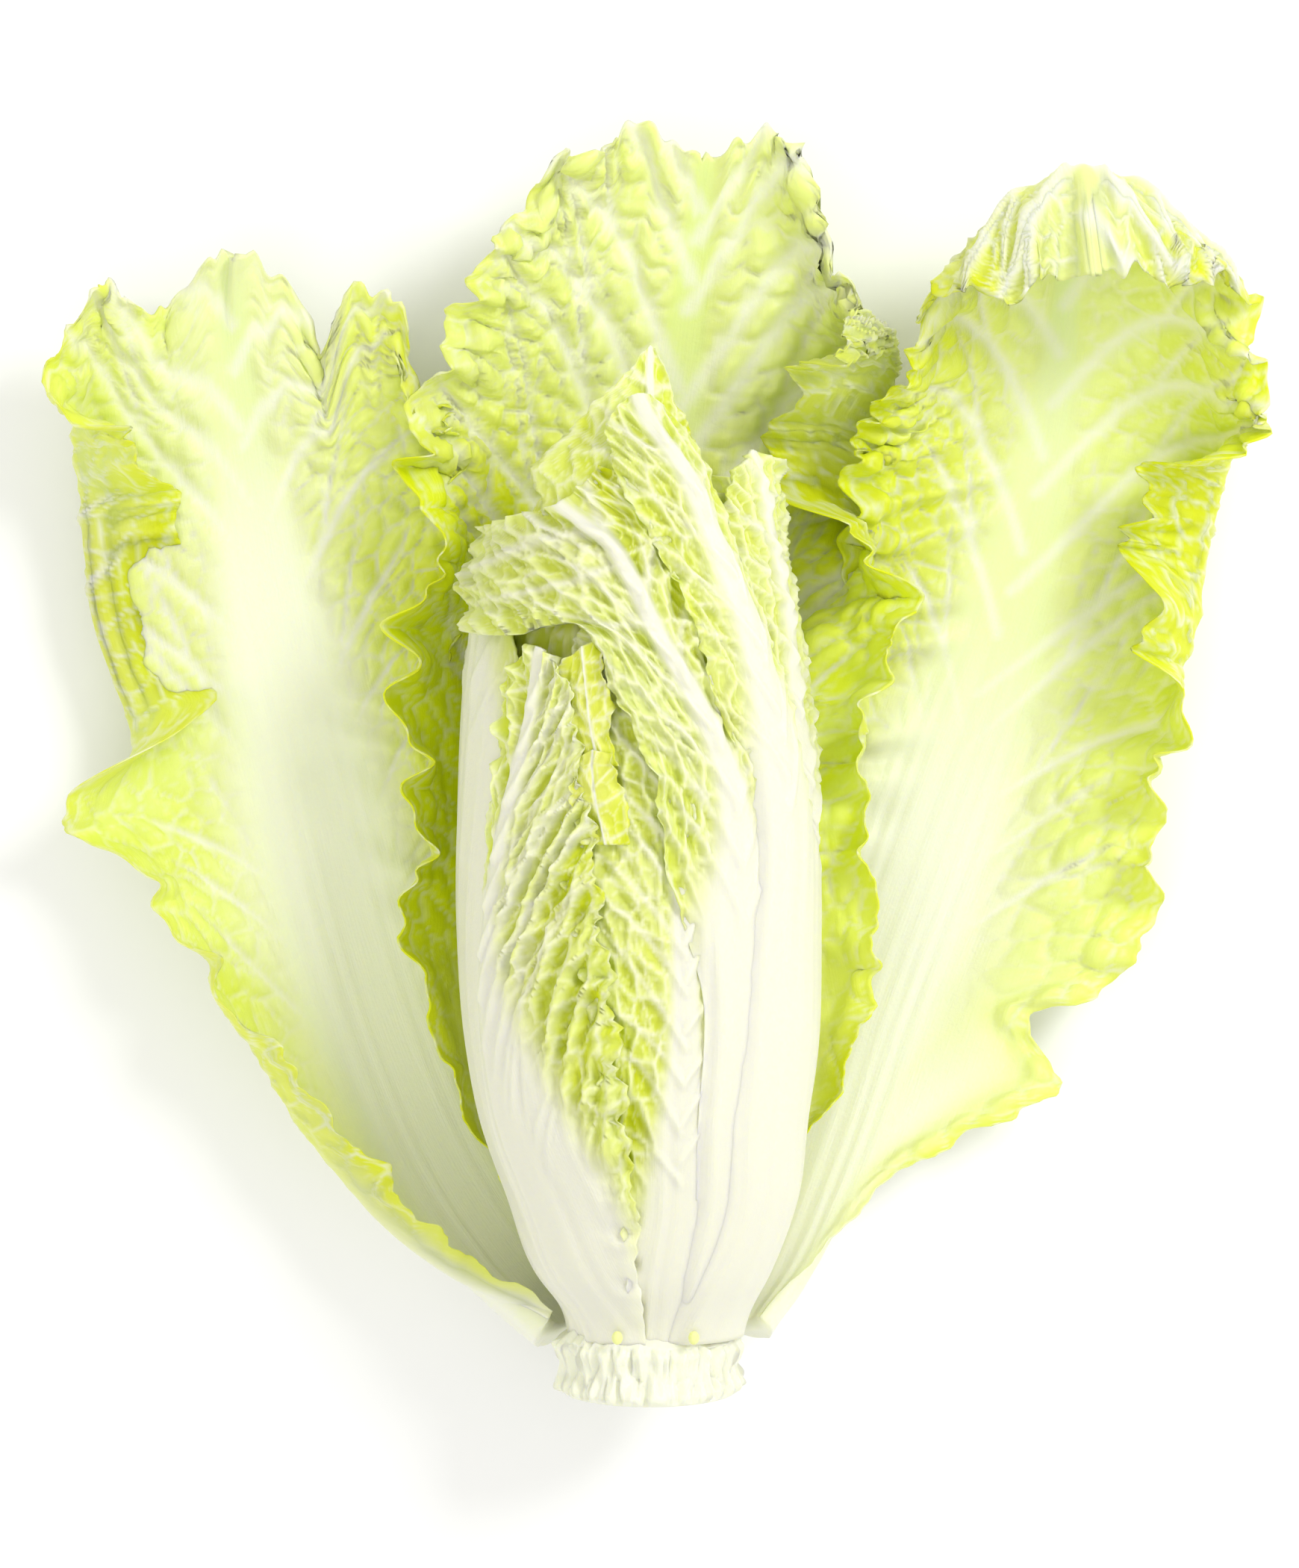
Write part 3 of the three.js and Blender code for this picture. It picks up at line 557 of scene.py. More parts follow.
    white = np.clip(np.maximum(1 - blade, mask * 0.72), 0, 1)
    # The deep share mixes towards the shaded green: a level set for each leaf at the rib and on each margin,
    # and painted shade in the furrows that lie low between the raised net; the noise is uneven tone.
    deep_rib, deep_left, deep_right = leaf["deep"]
    furrow_shade = ramp(0.4, -1.6, rise - 0.6 * ridge) * blade
    deep = deep_rib + deep_left * to_left + deep_right * to_right + 0.55 * furrow_shade - 0.1
    deep = np.clip(deep + 0.12 * noise(y / 15, v / 12, seed + 99), 0, 1)
    net = net_lines(big, small, 0.15, 0.14, 0.45) * blade
    return sheet(name, front, back, tones(white, net, deep), y, v)


# ---------------------------------------------------------------- looks
# The numbered sockets of a colour Mix node.
FACTOR, FIRST_COLOUR, SECOND_COLOUR, MIXED_COLOUR = 0, 6, 7, 2


def leaf_material(name, light, dark, rib, glow=0.003):
    """Pale rib, lit blade green, the same green in painted shade and pale net, mixed by the tone attribute,
    with fine fibres as bump.
    """
    material = bpy.data.materials.new(name)
    material.use_nodes = True
    nodes, links = material.node_tree.nodes, material.node_tree.links
    shader = nodes["Principled BSDF"]
    tone = nodes.new("ShaderNodeAttribute")
    tone.attribute_name = "tone"
    parts = nodes.new("ShaderNodeSeparateColor")
    links.new(tone.outputs["Color"], parts.inputs["Color"])

    def mix(factor, first, second):
        node = nodes.new("ShaderNodeMix")
        node.data_type = "RGBA"
        for socket, value in ((FIRST_COLOUR, first), (SECOND_COLOUR, second)):
            if isinstance(value, tuple):
                node.inputs[socket].default_value = (*value, 1)
            else:
                links.new(value, node.inputs[socket])
        links.new(factor, node.inputs[FACTOR])
        return node.outputs[MIXED_COLOUR]

    def grain(scale, detail, source):
        node = nodes.new("ShaderNodeTexNoise")
        node.inputs["Scale"].default_value = scale
        node.inputs["Detail"].default_value = detail
        links.new(source, node.inputs["Vector"])
        return node.outputs["Fac"]

    # The tone's third share paints shade: it mixes the lit blade green towards the shaded green.
    blade = mix(parts.outputs["Blue"], light, dark)
    pale = tuple(0.35 * a + 0.65 * b for a, b in zip(light, rib))
    netted = mix(parts.outputs["Green"], blade, pale)
    colour = mix(parts.outputs["Red"], netted, rib)
    links.new(colour, shader.inputs["Base Color"])

    place = nodes.new("ShaderNodeUVMap")
    place.uv_map = "place"
    stretch = nodes.new("ShaderNodeMapping")
    stretch.inputs["Scale"].default_value = (0.35, 9.0, 1.0)
    links.new(place.outputs["UV"], stretch.inputs["Vector"])
    both = nodes.new("ShaderNodeMath")
    both.operation = "ADD"
    links.new(grain(2.2, 3.0, stretch.outputs["Vector"]), both.inputs[0])
    links.new(grain(9.0, 4.0, place.outputs["UV"]), both.inputs[1])
    bump = nodes.new("ShaderNodeBump")
    bump.inputs["Strength"].default_value = 0.22
    bump.inputs["Distance"].default_value = 0.0006
    links.new(both.outputs["Value"], bump.inputs["Height"])
    links.new(bump.outputs["Normal"], shader.inputs["Normal"])
    shader.inputs["Roughness"].default_value = 0.42
    shader.inputs["IOR"].default_value = 1.4
    shader.inputs["Specular IOR Level"].default_value = 0.5
    shader.inputs["Subsurface Weight"].default_value = 0.55
    shader.inputs["Subsurface Radius"].default_value = (1.0, 1.1, 0.35)
    shader.inputs["Subsurface Scale"].default_value = glow
    return material


# Each leaf look mixes its first colour, the blade green as lit, towards its second, the same green in painted
# shade; the stump and the buds take a fixed share of their second colour.
RIB = (0.88, 0.89, 0.75)
LIT_GREEN = (0.77, 0.88, 0.29)
SHADE_GREEN = (0.70, 0.79, 0.006)
outer_look = leaf_material("outer_leaf", LIT_GREEN, SHADE_GREEN, RIB, 0.0025)
heart_look = leaf_material("heart_leaf", (0.79, 0.89, 0.31), (0.66, 0.75, 0.01), (0.905, 0.91, 0.68))
inner_look = leaf_material("inner_leaf", (0.78, 0.82, 0.2), SHADE_GREEN, RIB)
stump_look = leaf_material("stump", (0.84, 0.88, 0.45), (0.62, 0.5, 0.24), (0.90, 0.91, 0.78), 0.0012)
bud_look = leaf_material("bud", (0.84, 0.86, 0.36), SHADE_GREEN, RIB)


def place_piece(piece, look, node):
    piece.name = node + "_look"
    piece.data.materials.append(look)
    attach(piece, "root")
    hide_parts(node)


# ---------------------------------------------------------------- tables
# An opened leaf, by station number along the rib:
#   rib: [x, y, z and the direction the blade faces]; thick: [thickness and half-width of the rib]
#   left, right: [station, width, lean and curl of the blade in degrees]
#   ruffle: [station, swing in degrees]; fold: [station, 0 for an even curl to 1 for a tight roll]
#   tip: [distance from the rib, how far the tip reaches there]
#   crease: height, then where it starts and ends along and across the leaf
# A heart leaf:
#   path: rows of [arc, y] for the left margin, the rib and the right margin
#   out: [row, how far the left margin, the rib and the right margin stand off the heart]
#   ruffle: [row, swing at the left and the right margin]; rib_half: [y, half-width of the rib]
#   bare: where the blade starts at the left, the rib and the right
#   pleat: height, lean and pitch; edge_fall: drop at the left and the right, and below what y
#   deep: how far towards the shaded green at the rib, and what the left and the right margin add
LEFT_LEAF = {
    "seed": 11,
    "power": 3,
    "rib": [
        [-23, 19, 33, 0.8, 0.1, 0.6],
        [-40, 36, 22, 0.6, 0.05, 0.8],
        [-57, 61, 13, 0.42, 0, 0.9],
        [-71, 94, 9, 0.2, 0, 0.97],
        [-82, 130, 8, 0.1, 0, 1],
        [-91, 165, 8, 0.06, 0, 1],
        [-99, 200, 9, 0.05, 0, 1],
        [-105, 235, 12, 0.05, -0.1, 1],
        [-108, 265, 19, 0, -0.3, 0.95],
        [-108, 283, 27, 0, -0.5, 0.85],
        [-107, 293, 33, 0, -0.55, 0.8],
    ],
    "left": [
        [0, 12, 20, 70],
        [1, 27, 5, 115],
        [2, 41, 4, 130],
        [3, 51, 5, 125],
        [4, 54, 6, 100],
        [4.6, 57, 5, 70],
        [5.0, 70, 5, 45],
        [5.25, 68, 5, 100],
        [5.5, 70, 5, 150],
        [6.2, 76, 5, 160],
        [7, 73, 5, 155],
        [8, 66, 5, 125],
        [9, 46, 5, 75],
        [10, 36, 5, 40],
    ],
    "right": [
        [0, 8, 5, 10],
        [1, 15, 4, 15],
        [2, 24, 4, 30],
        [3, 34, 4, 40],
        [4, 38, 5, 42],
        [5, 44, 5, 44],
        [6, 52, 5, 44],
        [7, 60, 5, 42],
        [8, 58, 5, 42],
        [9, 51, 5, 32],
        [10, 46, 5, 22],
    ],
    "thick": [
        [7, 11], [8, 13], [8.5, 16], [8.5, 18], [8, 19], [7.5, 18],
        [7, 14], [6, 9], [4, 6], [2.5, 4], [1.5, 3],
    ],
    "ruffle": [[0, 4], [1, 14], [3, 26], [5, 32], [8, 40], [10, 34]],
    "fold": {
        "left": [[0, 0.5], [3, 0.5], [4, 0], [4.95, 0], [5.3, 0.9], [7.6, 1], [8.6, 0], [10, 0]],
        "right": [[0, 0], [10, 0]],
    },
    "droop": 0,
    "edge_shade": 0.34,
    "smooth_base": 0.3,
    "deep_rib": 0,
    "rib_fade": 0.1,
    "crease": (1.6, 120, 250, 12, 60),
    "tip": [[-46, -8], [-28, -8], [-21, -17], [-8, -3], [4, 1], [11, -4], [20, -16], [24, -22],
            [29, -8], [36, -4], [43, -7], [52, -20]],
    "veins_from": 70,
    "vein_gap": 23,
    "bare": 40,
    "puff": 1.0,
    "pleat": 1.2,
    "rib_white": 1.0,
    # Painted shade: the right half goes towards the shaded green below u 265, where it lies beside the heart;
    # the far left half takes a little less.
    "deep": lambda u, v: 0.2 + 0.45 * ramp(8, 40, v) * ramp(265, 190, u) - 0.1 * ramp(-20, -60, v),
}

CENTRE_LEAF = {
    "seed": 23,
    "power": 1.8,
    "rib": [
        [0, 19, 21, 0, 0.35, 0.94],
        [-1, 45, 11, 0, 0.2, 0.98],
        [-2, 80, 7.6, 0, 0.05, 1],
        [-2, 115, 6.8, 0, 0, 1],
        [-1, 150, 6.6, 0, 0, 1],
        [0, 185, 6.8, 0, 0, 1],
        [3, 220, 8, 0, -0.05, 1],
        [6, 250, 12, 0, -0.15, 1],
        [10, 280, 19, 0, -0.3, 0.95],
        [13, 305, 28, 0, -0.45, 0.88],
        [15, 322, 37, 0, -0.6, 0.8],
    ],
    "left": [
        [0, 16, 0, 40],
        [1, 38, 0, 75],
        [2, 60, 0, 80],
        [3, 76, 0, 90],
        [4, 80, 0, 100],
        [5, 85, 0, 95],
        [5.8, 76, 0, 90],
        [6.3, 76, 0, 70],
        [7, 71, 2, 45],
        [8, 62, 4, 35],
        [9, 54, 4, 30],
        [10, 40, 4, 20],
    ],
    "right": [
        [0, 16, 0, 40],
        [1, 37, 0, 75],
        [2, 60, 0, 75],
        [3, 76, 0, 85],
        [4, 76, 0, 95],
        [5, 76, 0, 95],
        [6, 80, 0, 90],
        [6.4, 88, 0, 130],
        [7, 92, 2, 160],
        [7.4, 88, 2, 155],
        [8, 92, 3, 150],
        [8.6, 84, 4, 130],
        [9.3, 50, 4, 80],
        [10, 27, 4, 20],
    ],
    "thick": [
        [6, 12], [7, 15], [8, 18], [8, 20], [8, 20], [8, 16],
        [7, 11], [5, 8], [3.5, 6], [2.5, 4], [1.5, 3],
    ],
    "ruffle": [[0, 2], [2, 12], [4, 26], [6, 32], [8, 34], [10, 30]],
    "fold": {
        "left": [[0, 0], [10, 0]],
        "right": [[0, 0], [6, 0], [6.4, 1], [8, 1], [9.8, 0], [10, 0]],
    },
    "droop": 0,
    "edge_shade": 0.05,
    "smooth_base": 0.75,
    "deep_rib": 1,
    "rib_fade": 0.6,
    "crease": (1.0, 230, 300, -70, -12),
    "tip": [[-46, -10], [-34, -3], [-18, 4], [-4, -3], [14, 4], [26, 1], [34, -14], [44, -18]],
    "veins_from": 90,
    "vein_gap": 24,
    "bare": 60,
    "puff": 1.7,
    "pleat": 1.0,
    "rib_white": 0.9,
    # Painted shade: the trough round the heart is in the shaded green, which fades out above the heart.
    "deep": lambda u, v: 1.0 - 0.85 * ramp(205, 250, u),
}

RIGHT_LEAF = {
    "seed": 37,
    "power": 2.6,
    "rib": [
        [23, 20, 33, -0.75, 0.1, 0.65],
        [33, 38, 22, -0.5, 0.05, 0.85],
        [45, 68, 13, -0.25, 0, 0.95],
        [56, 100, 9, -0.1, 0, 1],
        [68, 132, 8, -0.05, 0, 1],
        [80, 165, 8, -0.04, 0, 1],
        [92, 198, 9, -0.02, 0, 1],
        [101, 232, 12, 0, -0.1, 1],
        [106, 264, 19, 0, -0.25, 0.97],
        [108, 291, 31, 0, -0.6, 0.8],
        [109, 309, 46, 0, -0.9, 0.45],
        [109, 310, 60, 0, -1, -0.2],
        [109, 300, 69, 0, -0.6, -0.8],
        [110, 287, 71, 0, -0.2, -0.98],
    ],
    "left": [
        [0, 9, 5, 20],
        [1, 11, 0, 10],
        [2, 14, -8, 10],
        [3, 20, -4, 15],
        [4, 24, 0, 30],
        [5, 36, 4, 45],
        [6, 46, 6, 46],
        [7, 54, 6, 44],
        [8, 53, 5, 42],
        [9, 46, 5, 35],
        [10, 42, 5, 30],
        [11, 40, 5, 25],
        [12, 36, 5, 20],
        [13, 24, 5, 10],
    ],
    "right": [
        [0, 9, 5, 15],
        [1, 13, 0, 20],
        [2, 28, 0, 20],
        [2.5, 45, 0, 20],
        [2.85, 57, 2, 20],
        [3.3, 42, 2, 25],
        [3.7, 57, 2, 25],
        [4.2, 64, 2, 35],
        [5, 60, 2, 70],
        [5.6, 66, 3, 95],
        [6.3, 78, 3, 125],
        [7, 76, 4, 145],
        [8, 73, 4, 140],
        [9, 56, 4, 75],
        [10, 46, 4, 45],
        [11, 44, 4, 30],
        [12, 38, 4, 20],
        [13, 24, 4, 10],
    ],
    "thick": [
        [7, 11], [8, 13], [8.5, 17], [8.5, 21], [8, 22], [7.5, 19], [7, 14],
        [6, 9], [4, 6], [2.5, 4], [1.5, 3], [1.2, 3], [1, 3], [1, 3],
    ],
    "ruffle": [[0, 2], [2, 10], [4, 26], [6, 36], [9, 40], [13, 30]],
    "fold": {
        "left": [[0, 0], [13, 0]],
        "right": [[0, 0], [5.4, 0], [6, 0.7], [8, 0.9], [8.8, 0], [13, 0]],
    },
    "droop": 0.016,
    "edge_shade": 0.22,
    "smooth_base": 0.2,
    "deep_rib": 0.3,
    "rib_fade": 0.55,
    "crease": (2.6, 120, 260, -60, -8),
    "tip": [[-40, -10], [-20, 0], [0, 2], [20, 0], [40, -10]],
    "veins_from": 85,
    "vein_gap": 24,
    "bare": 85,
    "puff": 1.0,
    "pleat": 1.4,
    "rib_white": 1.0,
    # Painted shade: more towards the top, under the hood, and on the left half beside the heart.
    "deep": lambda u, v: 0.2 + 0.35 * ramp(150, 230, u) + 0.25 * ramp(-8, -34, v) * ramp(290, 210, u),
}

HEART_RIGHT = {
    "seed": 41,
    "path": [
        [6, LEAF_FOOT, 32, LEAF_FOOT, 70, LEAF_FOOT],
        [17, 45, 40, 45, 90, 45],
        [23, 80, 38, 78, 96, 78],
        [27, 112, 37, 105, 90, 108],
        [30, 142, 38, 135, 64, 138],
        [27, 160, 38, 162, 49, 160],
        [18, 182, 34, 182, 43, 180],
        [14, 200, 30, 201, 37, 199],
        [5, 217, 24, 219, 34, 215],
        [-8, 233, 16, 235, 28, 233],
        [-17, 245, 4, 246, 20, 246],
        [-13, 253, -5, 254, 4, 254],
    ],
    "out": [[0, 0, 0, 0], [5, 0, 1, 0], [9, 0, 1.2, 0], [11, 0.4, 0.6, 0.4]],
    "ruffle": [[0, 0, 0], [5, 0, 0], [6, 0.8, 0.2], [8, 1.6, 0.5], [11, 1.4, 0.8]],
    "rib_half": [[20, 20], [100, 20], [150, 12], [180, 7], [210, 4.5], [250, 2.2]],
    "bare": (160, 168, 150),
    "veins_from": 150,
    "vein_gap": 16,
    "vein_slope": 2.3,
    "vein_width": 1.15,
    "pleat": (1.1, 2.2, 11.0),
    "vein_height": 0.8,
    "rib_height": 1.4,
    "puff": 1.3,
    "edge_fall": (3.2, 0.3, 150),
    "deep": (0.15, 0.25, 0),
}

HEART_CAP = {
    "seed": 47,
    "path": [
        [10, LEAF_FOOT, 20, LEAF_FOOT, 32, LEAF_FOOT],
        [14, 45, 26, 45, 36, 45],
        [16, 80, 27, 78, 36, 78],
        [16, 108, 27, 106, 36, 106],
        [7, 136, 26, 132, 36, 132],
        [3, 160, 23, 157, 36, 157],
        [-6, 180, 15, 176, 30, 180],
        [-14, 196, 6, 192, 22, 201],
        [-32, 194, 0, 206, 12, 216],
        [-52, 196, -6, 215, 4, 227],
        [-66, 206, -14, 220, -6, 233],
        [-68, 222, -26, 226, -18, 236],
    ],
    "out": [
        [0, -LAYER_STEP, -LAYER_STEP, -LAYER_STEP],
        [3, -0.2, -LAYER_STEP, -LAYER_STEP],
        [6, 0.5, -1.2, -LAYER_STEP],
        [8, 2, -0.2, -LAYER_STEP],
        [9, 2.4, 0.6, -LAYER_STEP],
        [11, 2.6, 1, -LAYER_STEP],
    ],
    "ruffle": [[0, 0, 0], [3, 0, 0], [4, 0.8, 0], [6, 1.6, 0], [8, 2.2, 0.3], [11, 2.4, 1.2]],
    "rib_half": [[20, 16], [100, 12], [140, 6], [180, 3.2], [210, 2.2], [250, 1.5]],
    "bare": (118, 150, 150),
    "veins_from": 118,
    "vein_gap": 15,
    "vein_slope": 2.1,
    "vein_width": 1.3,
    "pleat": (1.5, 2.0, 12.0),
    "vein_height": 0.9,
    "rib_height": 1.8,
    "puff": 1.4,
    "edge_fall": (2.2, 0.3, 115),
    "own_veins": [
        ([(-12, 219), (-30, 217), (-48, 213), (-64, 210)], 1.9, 0.8),
        ([(-3, 211), (-16, 207), (-34, 204), (-52, 203)], 1.5, 0.6),
        ([(4, 196), (-8, 196), (-20, 199), (-30, 203)], 1.3, 0.6),
    ],
    "deep": (0.2, 0, 0.45),
}

HEART_SEAM = {
    "seed": 53,
    "path": [
        [-8, LEAF_FOOT, 6, LEAF_FOOT, 20, LEAF_FOOT],
        [-8, 45, 9, 45, 21, 45],
        [-9, 80, 11, 78, 24, 78],
        [-14, 110, 12, 105, 26, 105],
        [-20, 140, 11, 130, 26, 130],
        [-21, 165, 8, 155, 26, 155],
        [-20, 185, 3, 178, 22, 178],
        [-15, 197, 0, 193, 16, 196],
    ],
    "out": [
        [0, -2.2, -LAYER_STEP, -LAYER_STEP],
        [1, -1.5, -LAYER_STEP, -LAYER_STEP],
        [3, -1.8, -2.4, -3.6],
        [5, -3.6, -3.6, BURIED],
        [7, BURIED, BURIED, BURIED],
    ],
    "ruffle": [[0, 0.6, 0], [1, 2.0, 0], [3, 1.6, 0], [7, 1.2, 0]],
    "rib_half": [[20, 8], [60, 6], [100, 4], [200, 2]],
    "bare": (44, 84, 112),
    "veins_from": 60,
    "vein_gap": 11,
    "vein_slope": 1.6,
    "vein_width": 1.1,
    "pleat": (0.8, 1.6, 9.0),
    "vein_height": 1.0,
    "rib_height": 0.3,
    "puff": 1.0,
    "deep": (0.35, 0.25, 0),
}

HEART_LEFT = {
    "seed": 59,
    "path": [
        [-44, LEAF_FOOT, -28, LEAF_FOOT, -4, LEAF_FOOT],
        [-52, 45, -38, 45, -4, 42],
        [-52, 80, -44, 78, -4, 76],
        [-49, 112, -44, 108, -6, 104],
        [-44, 135, -40, 130, -9, 127],
        [-41, 155, -35, 150, -11, 146],
        [-39, 172, -30, 166, -14, 162],
        [-37, 184, -27, 180, -16, 178],
        [-31, 192, -26, 191, -20, 188],
    ],
    "out": [[0, 0, 0, 0], [3, 0, 0.5, 0.8], [8, 0, 0.5, 1]],
    "ruffle": [[0, 0, 0.4], [1, 0, 1.9], [3, 0, 2.2], [4, 0.6, 1.8], [8, 1.4, 1.6]],
    "rib_half": [[20, 10], [100, 6], [130, 4], [170, 2.4], [200, 1.8]],
    "bare": (128, 128, 46),
    "veins_from": 30,
    "vein_gap": 12,
    "vein_slope": 3.2,
    "vein_width": 1.5,
    "pleat": (2.2, 3.2, 11.0),
    "vein_height": 0.9,
    "vein_sides": (1,),
    "rib_height": 0.6,
    "puff": 1.4,
    "edge_fall": (2.4, 0, 130),
    "deep": (0.3, 0, 0.2),
}

HEART_FAR_LEFT = {
    "seed": 61,
    "path": [
        [-80, LEAF_FOOT, -60, LEAF_FOOT, -38, LEAF_FOOT],
        [-104, 45, -72, 45, -44, 45],
        [-112, 80, -74, 80, -44, 80],
        [-112, 115, -72, 115, -40, 115],
        [-105, 150, -66, 150, -34, 150],
        [-95, 178, -62, 178, -30, 176],
        [-84, 200, -62, 201, -42, 199],
    ],
    "out": [[0, -0.8, -1.8, -LAYER_STEP], [2, 0, -1.0, -LAYER_STEP], [6, 0, -0.6, -LAYER_STEP]],
    "ruffle": [[0, 0, 0], [5, 0, 0], [6, 0.5, 0.5]],
    "rib_half": [[20, 30], [160, 20], [200, 14]],
    "bare": (190, 220, 150),
    "veins_from": 150,
    "vein_gap": 18,
    "vein_slope": 1.6,
    "vein_width": 1.6,
    "vein_height": 0.6,
    "rib_height": 0.6,
    "puff": 0.6,
    "deep": (0.3, 0, 0.3),
}

HEART_SIDE = {
    "seed": 67,
    "path": [
        [55, LEAF_FOOT, 75, LEAF_FOOT, 96, LEAF_FOOT],
        [50, 60, 78, 60, 118, 60],
        [46, 110, 70, 110, 116, 110],
        [43, 150, 58, 150, 108, 150],
        [40, 180, 50, 178, 100, 180],
        [36, 204, 54, 204, 92, 205],
        [33, 222, 52, 222, 84, 226],
        [43, 235, 54, 241, 66, 239],
    ],
    "out": [
        [0, -LAYER_STEP, -LAYER_STEP, -LAYER_STEP],
        [3, -LAYER_STEP, -LAYER_STEP, -1.5],
        [5, -LAYER_STEP, -1, 0],
        [7, -LAYER_STEP, 3, 7],
    ],
    "ruffle": [[0, 0, 0], [3, 0, 0.6], [5, 0, 1.2], [7, 0.6, 1.6]],
    "rib_half": [[20, 14], [150, 8], [180, 4], [210, 2.6], [240, 1.8]],
    "bare": (150, 140, 132),
    "veins_from": 140,
    "vein_gap": 15,
    "vein_slope": 1.0,
    "vein_width": 1.5,
    "vein_height": 0.9,
    "rib_height": 1.2,
    "puff": 1.3,
    "deep": (0.25, 0, 0.2),
}

HEART_BACK = {
    "seed": 71,
    "path": [
        [86, LEAF_FOOT, 141, LEAF_FOOT, 212, LEAF_FOOT],
        [96, 60, 141, 60, 188, 60],
        [98, 110, 141, 110, 184, 110],
        [94, 150, 141, 150, 190, 150],
        [88, 185, 141, 185, 198, 185],
        [84, 215, 141, 215, 204, 212],
        [92, 236, 141, 240, 190, 234],
    ],
    "out": [[0, BURIED, BURIED, BURIED], [6, BURIED, BURIED, BURIED]],
    "ruffle": [[0, 0, 0], [5, 0.4, 0.4], [6, 0.8, 0.8]],
    "rib_half": [[20, 24], [140, 18], [200, 8], [240, 4]],
    "bare": (140, 170, 140),
    "veins_from": 110,
    "vein_gap": 18,
    "vein_slope": 1.0,
    "vein_width": 1.6,
    "vein_height": 0.8,
    "rib_height": 0.8,
    "puff": 1.0,
    "deep": (0.3, 0, 0.2),
}

HEART_TIP = {
    "seed": 73,
    "path": [
        [-20, 206, 4, 206, 30, 206],
        [-34, 224, 3, 224, 30, 224],
        [-50, 236, 2, 240, 32, 240],
        [-40, 249, 4, 252, 31, 250],
        [-22, 259, 4, 261, 24, 260],
        [-8, 265, 3, 267, 12, 266],
    ],
    "out": [[0, BURIED, BURIED, BURIED], [2, -1, BURIED, BURIED], [5, -1, -1, -1]],
    "ruffle": [[0, 0, 0], [1, 1, 0.3], [2, 2, 0.6], [5, 1.6, 1.2]],
    "rib_half": [[206, 1.5], [266, 1.0]],
    "bare": (150, 150, 150),
    "veins_from": 212,
    "vein_gap": 12,
    "vein_slope": 0.9,
    "vein_width": 1.1,
    "vein_height": 0.9,
    "rib_height": 0.3,
    "puff": 0.9,
    "deep": (0.35, 0, 0.2),
}

INNER_TIP_UPPER = {
    "seed": 79,
    "path": [
        [-14, 162, -10, 162, -6, 162],
        [-17, 172, -12, 173, -7, 174],
        [-19, 181, -13, 182, -8, 184],
        [-18, 188, -14, 191, -10, 193],
    ],
    "out": [[0, 0, 0.4, 0], [3, 0.6, 1.5, 0.6]],
    "ruffle": [[0, 1.2, 1.0], [3, 2.2, 1.8]],
    "rib_half": [[140, 0.35], [200, 0.3]],
    "bare": (100, 100, 100),
    "veins_from": 168,
    "vein_gap": 7,
    "vein_slope": 1.0,
    "vein_width": 0.5,
    "vein_height": 0.5,
    "rib_height": 0.4,
    "puff": 0.6,
    "deep": (0.4, 0, 0.2),
}
INNER_TIP_LOWER = dict(
    INNER_TIP_UPPER,
    seed=83,
    path=[
        [-13, 143, -8, 143, -3, 143],
        [-16, 151, -10, 152, -3, 152],
        [-17, 159, -11, 160, -5, 160],
        [-15, 164, -11, 166, -7, 165],
    ],
)


# ---------------------------------------------------------------- pieces
CORE_TOP = 230
CORE_OUT = -3.4 * LAYER_STEP
CORE_RELIEF = 1.6
STUMP_PROFILE = [[0, 0.93], [1.5, 0.99], [6, 0.965], [10, 0.97], [13, 1.0], [15, 0.94], [STUMP_TOP, 0.84]]
STUMP_RIM = 15
SCAR_PITCH = 1.9
BUD_Y = 20.2
BUD_HEIGHT = 67
BUD_HALF_LENGTH = 1.7
BUD_RADIUS = 1.35


def heart_core():
    """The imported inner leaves: they wrap round in a slow spiral, so their edges show as low steps."""
    around, along = 160, 120
    girth = 2 * np.pi * ARC_RADIUS
    arc = girth * np.arange(around)[None] / around
    y = np.linspace(LEAF_FOOT, CORE_TOP, along)[:, None]
    arc, y = arc + 0 * y, y + 0 * arc
    angle = arc / ARC_RADIUS
    turn = (arc / girth * 5 + y / 150 + 0.12 * noise(y / 14, y * 0, 5)) % 1
    ledge = turn * ramp(1.0, 0.94, turn)
    big = cells(y / 8.5, np.cos(angle) * 5 + np.sin(angle) * 9, 7)
    small = cells(y / 3.8, np.cos(angle) * 11 + np.sin(angle) * 17, 8)
    green = ramp(70, 130, y)
    lines = 1.2 * ramp(0.45, 0.0, big) + 0.4 * ramp(0.35, 0.0, small)
    rings = on_heart(arc, y, CORE_OUT + (CORE_RELIEF * ledge + green * lines - CORE_RELIEF))
    # Painted shade: the middles of the cells, which sag between the raised net, go deeper towards the shaded
    # green.
    deep = np.clip(0.35 + 0.4 * ramp(0.0, 0.5, big), 0, 1)
    net = net_lines(big, small, 0.16, 0.12, 0.4) * green
    return ringed("heart_core", rings, tones(1 - green, net, deep))


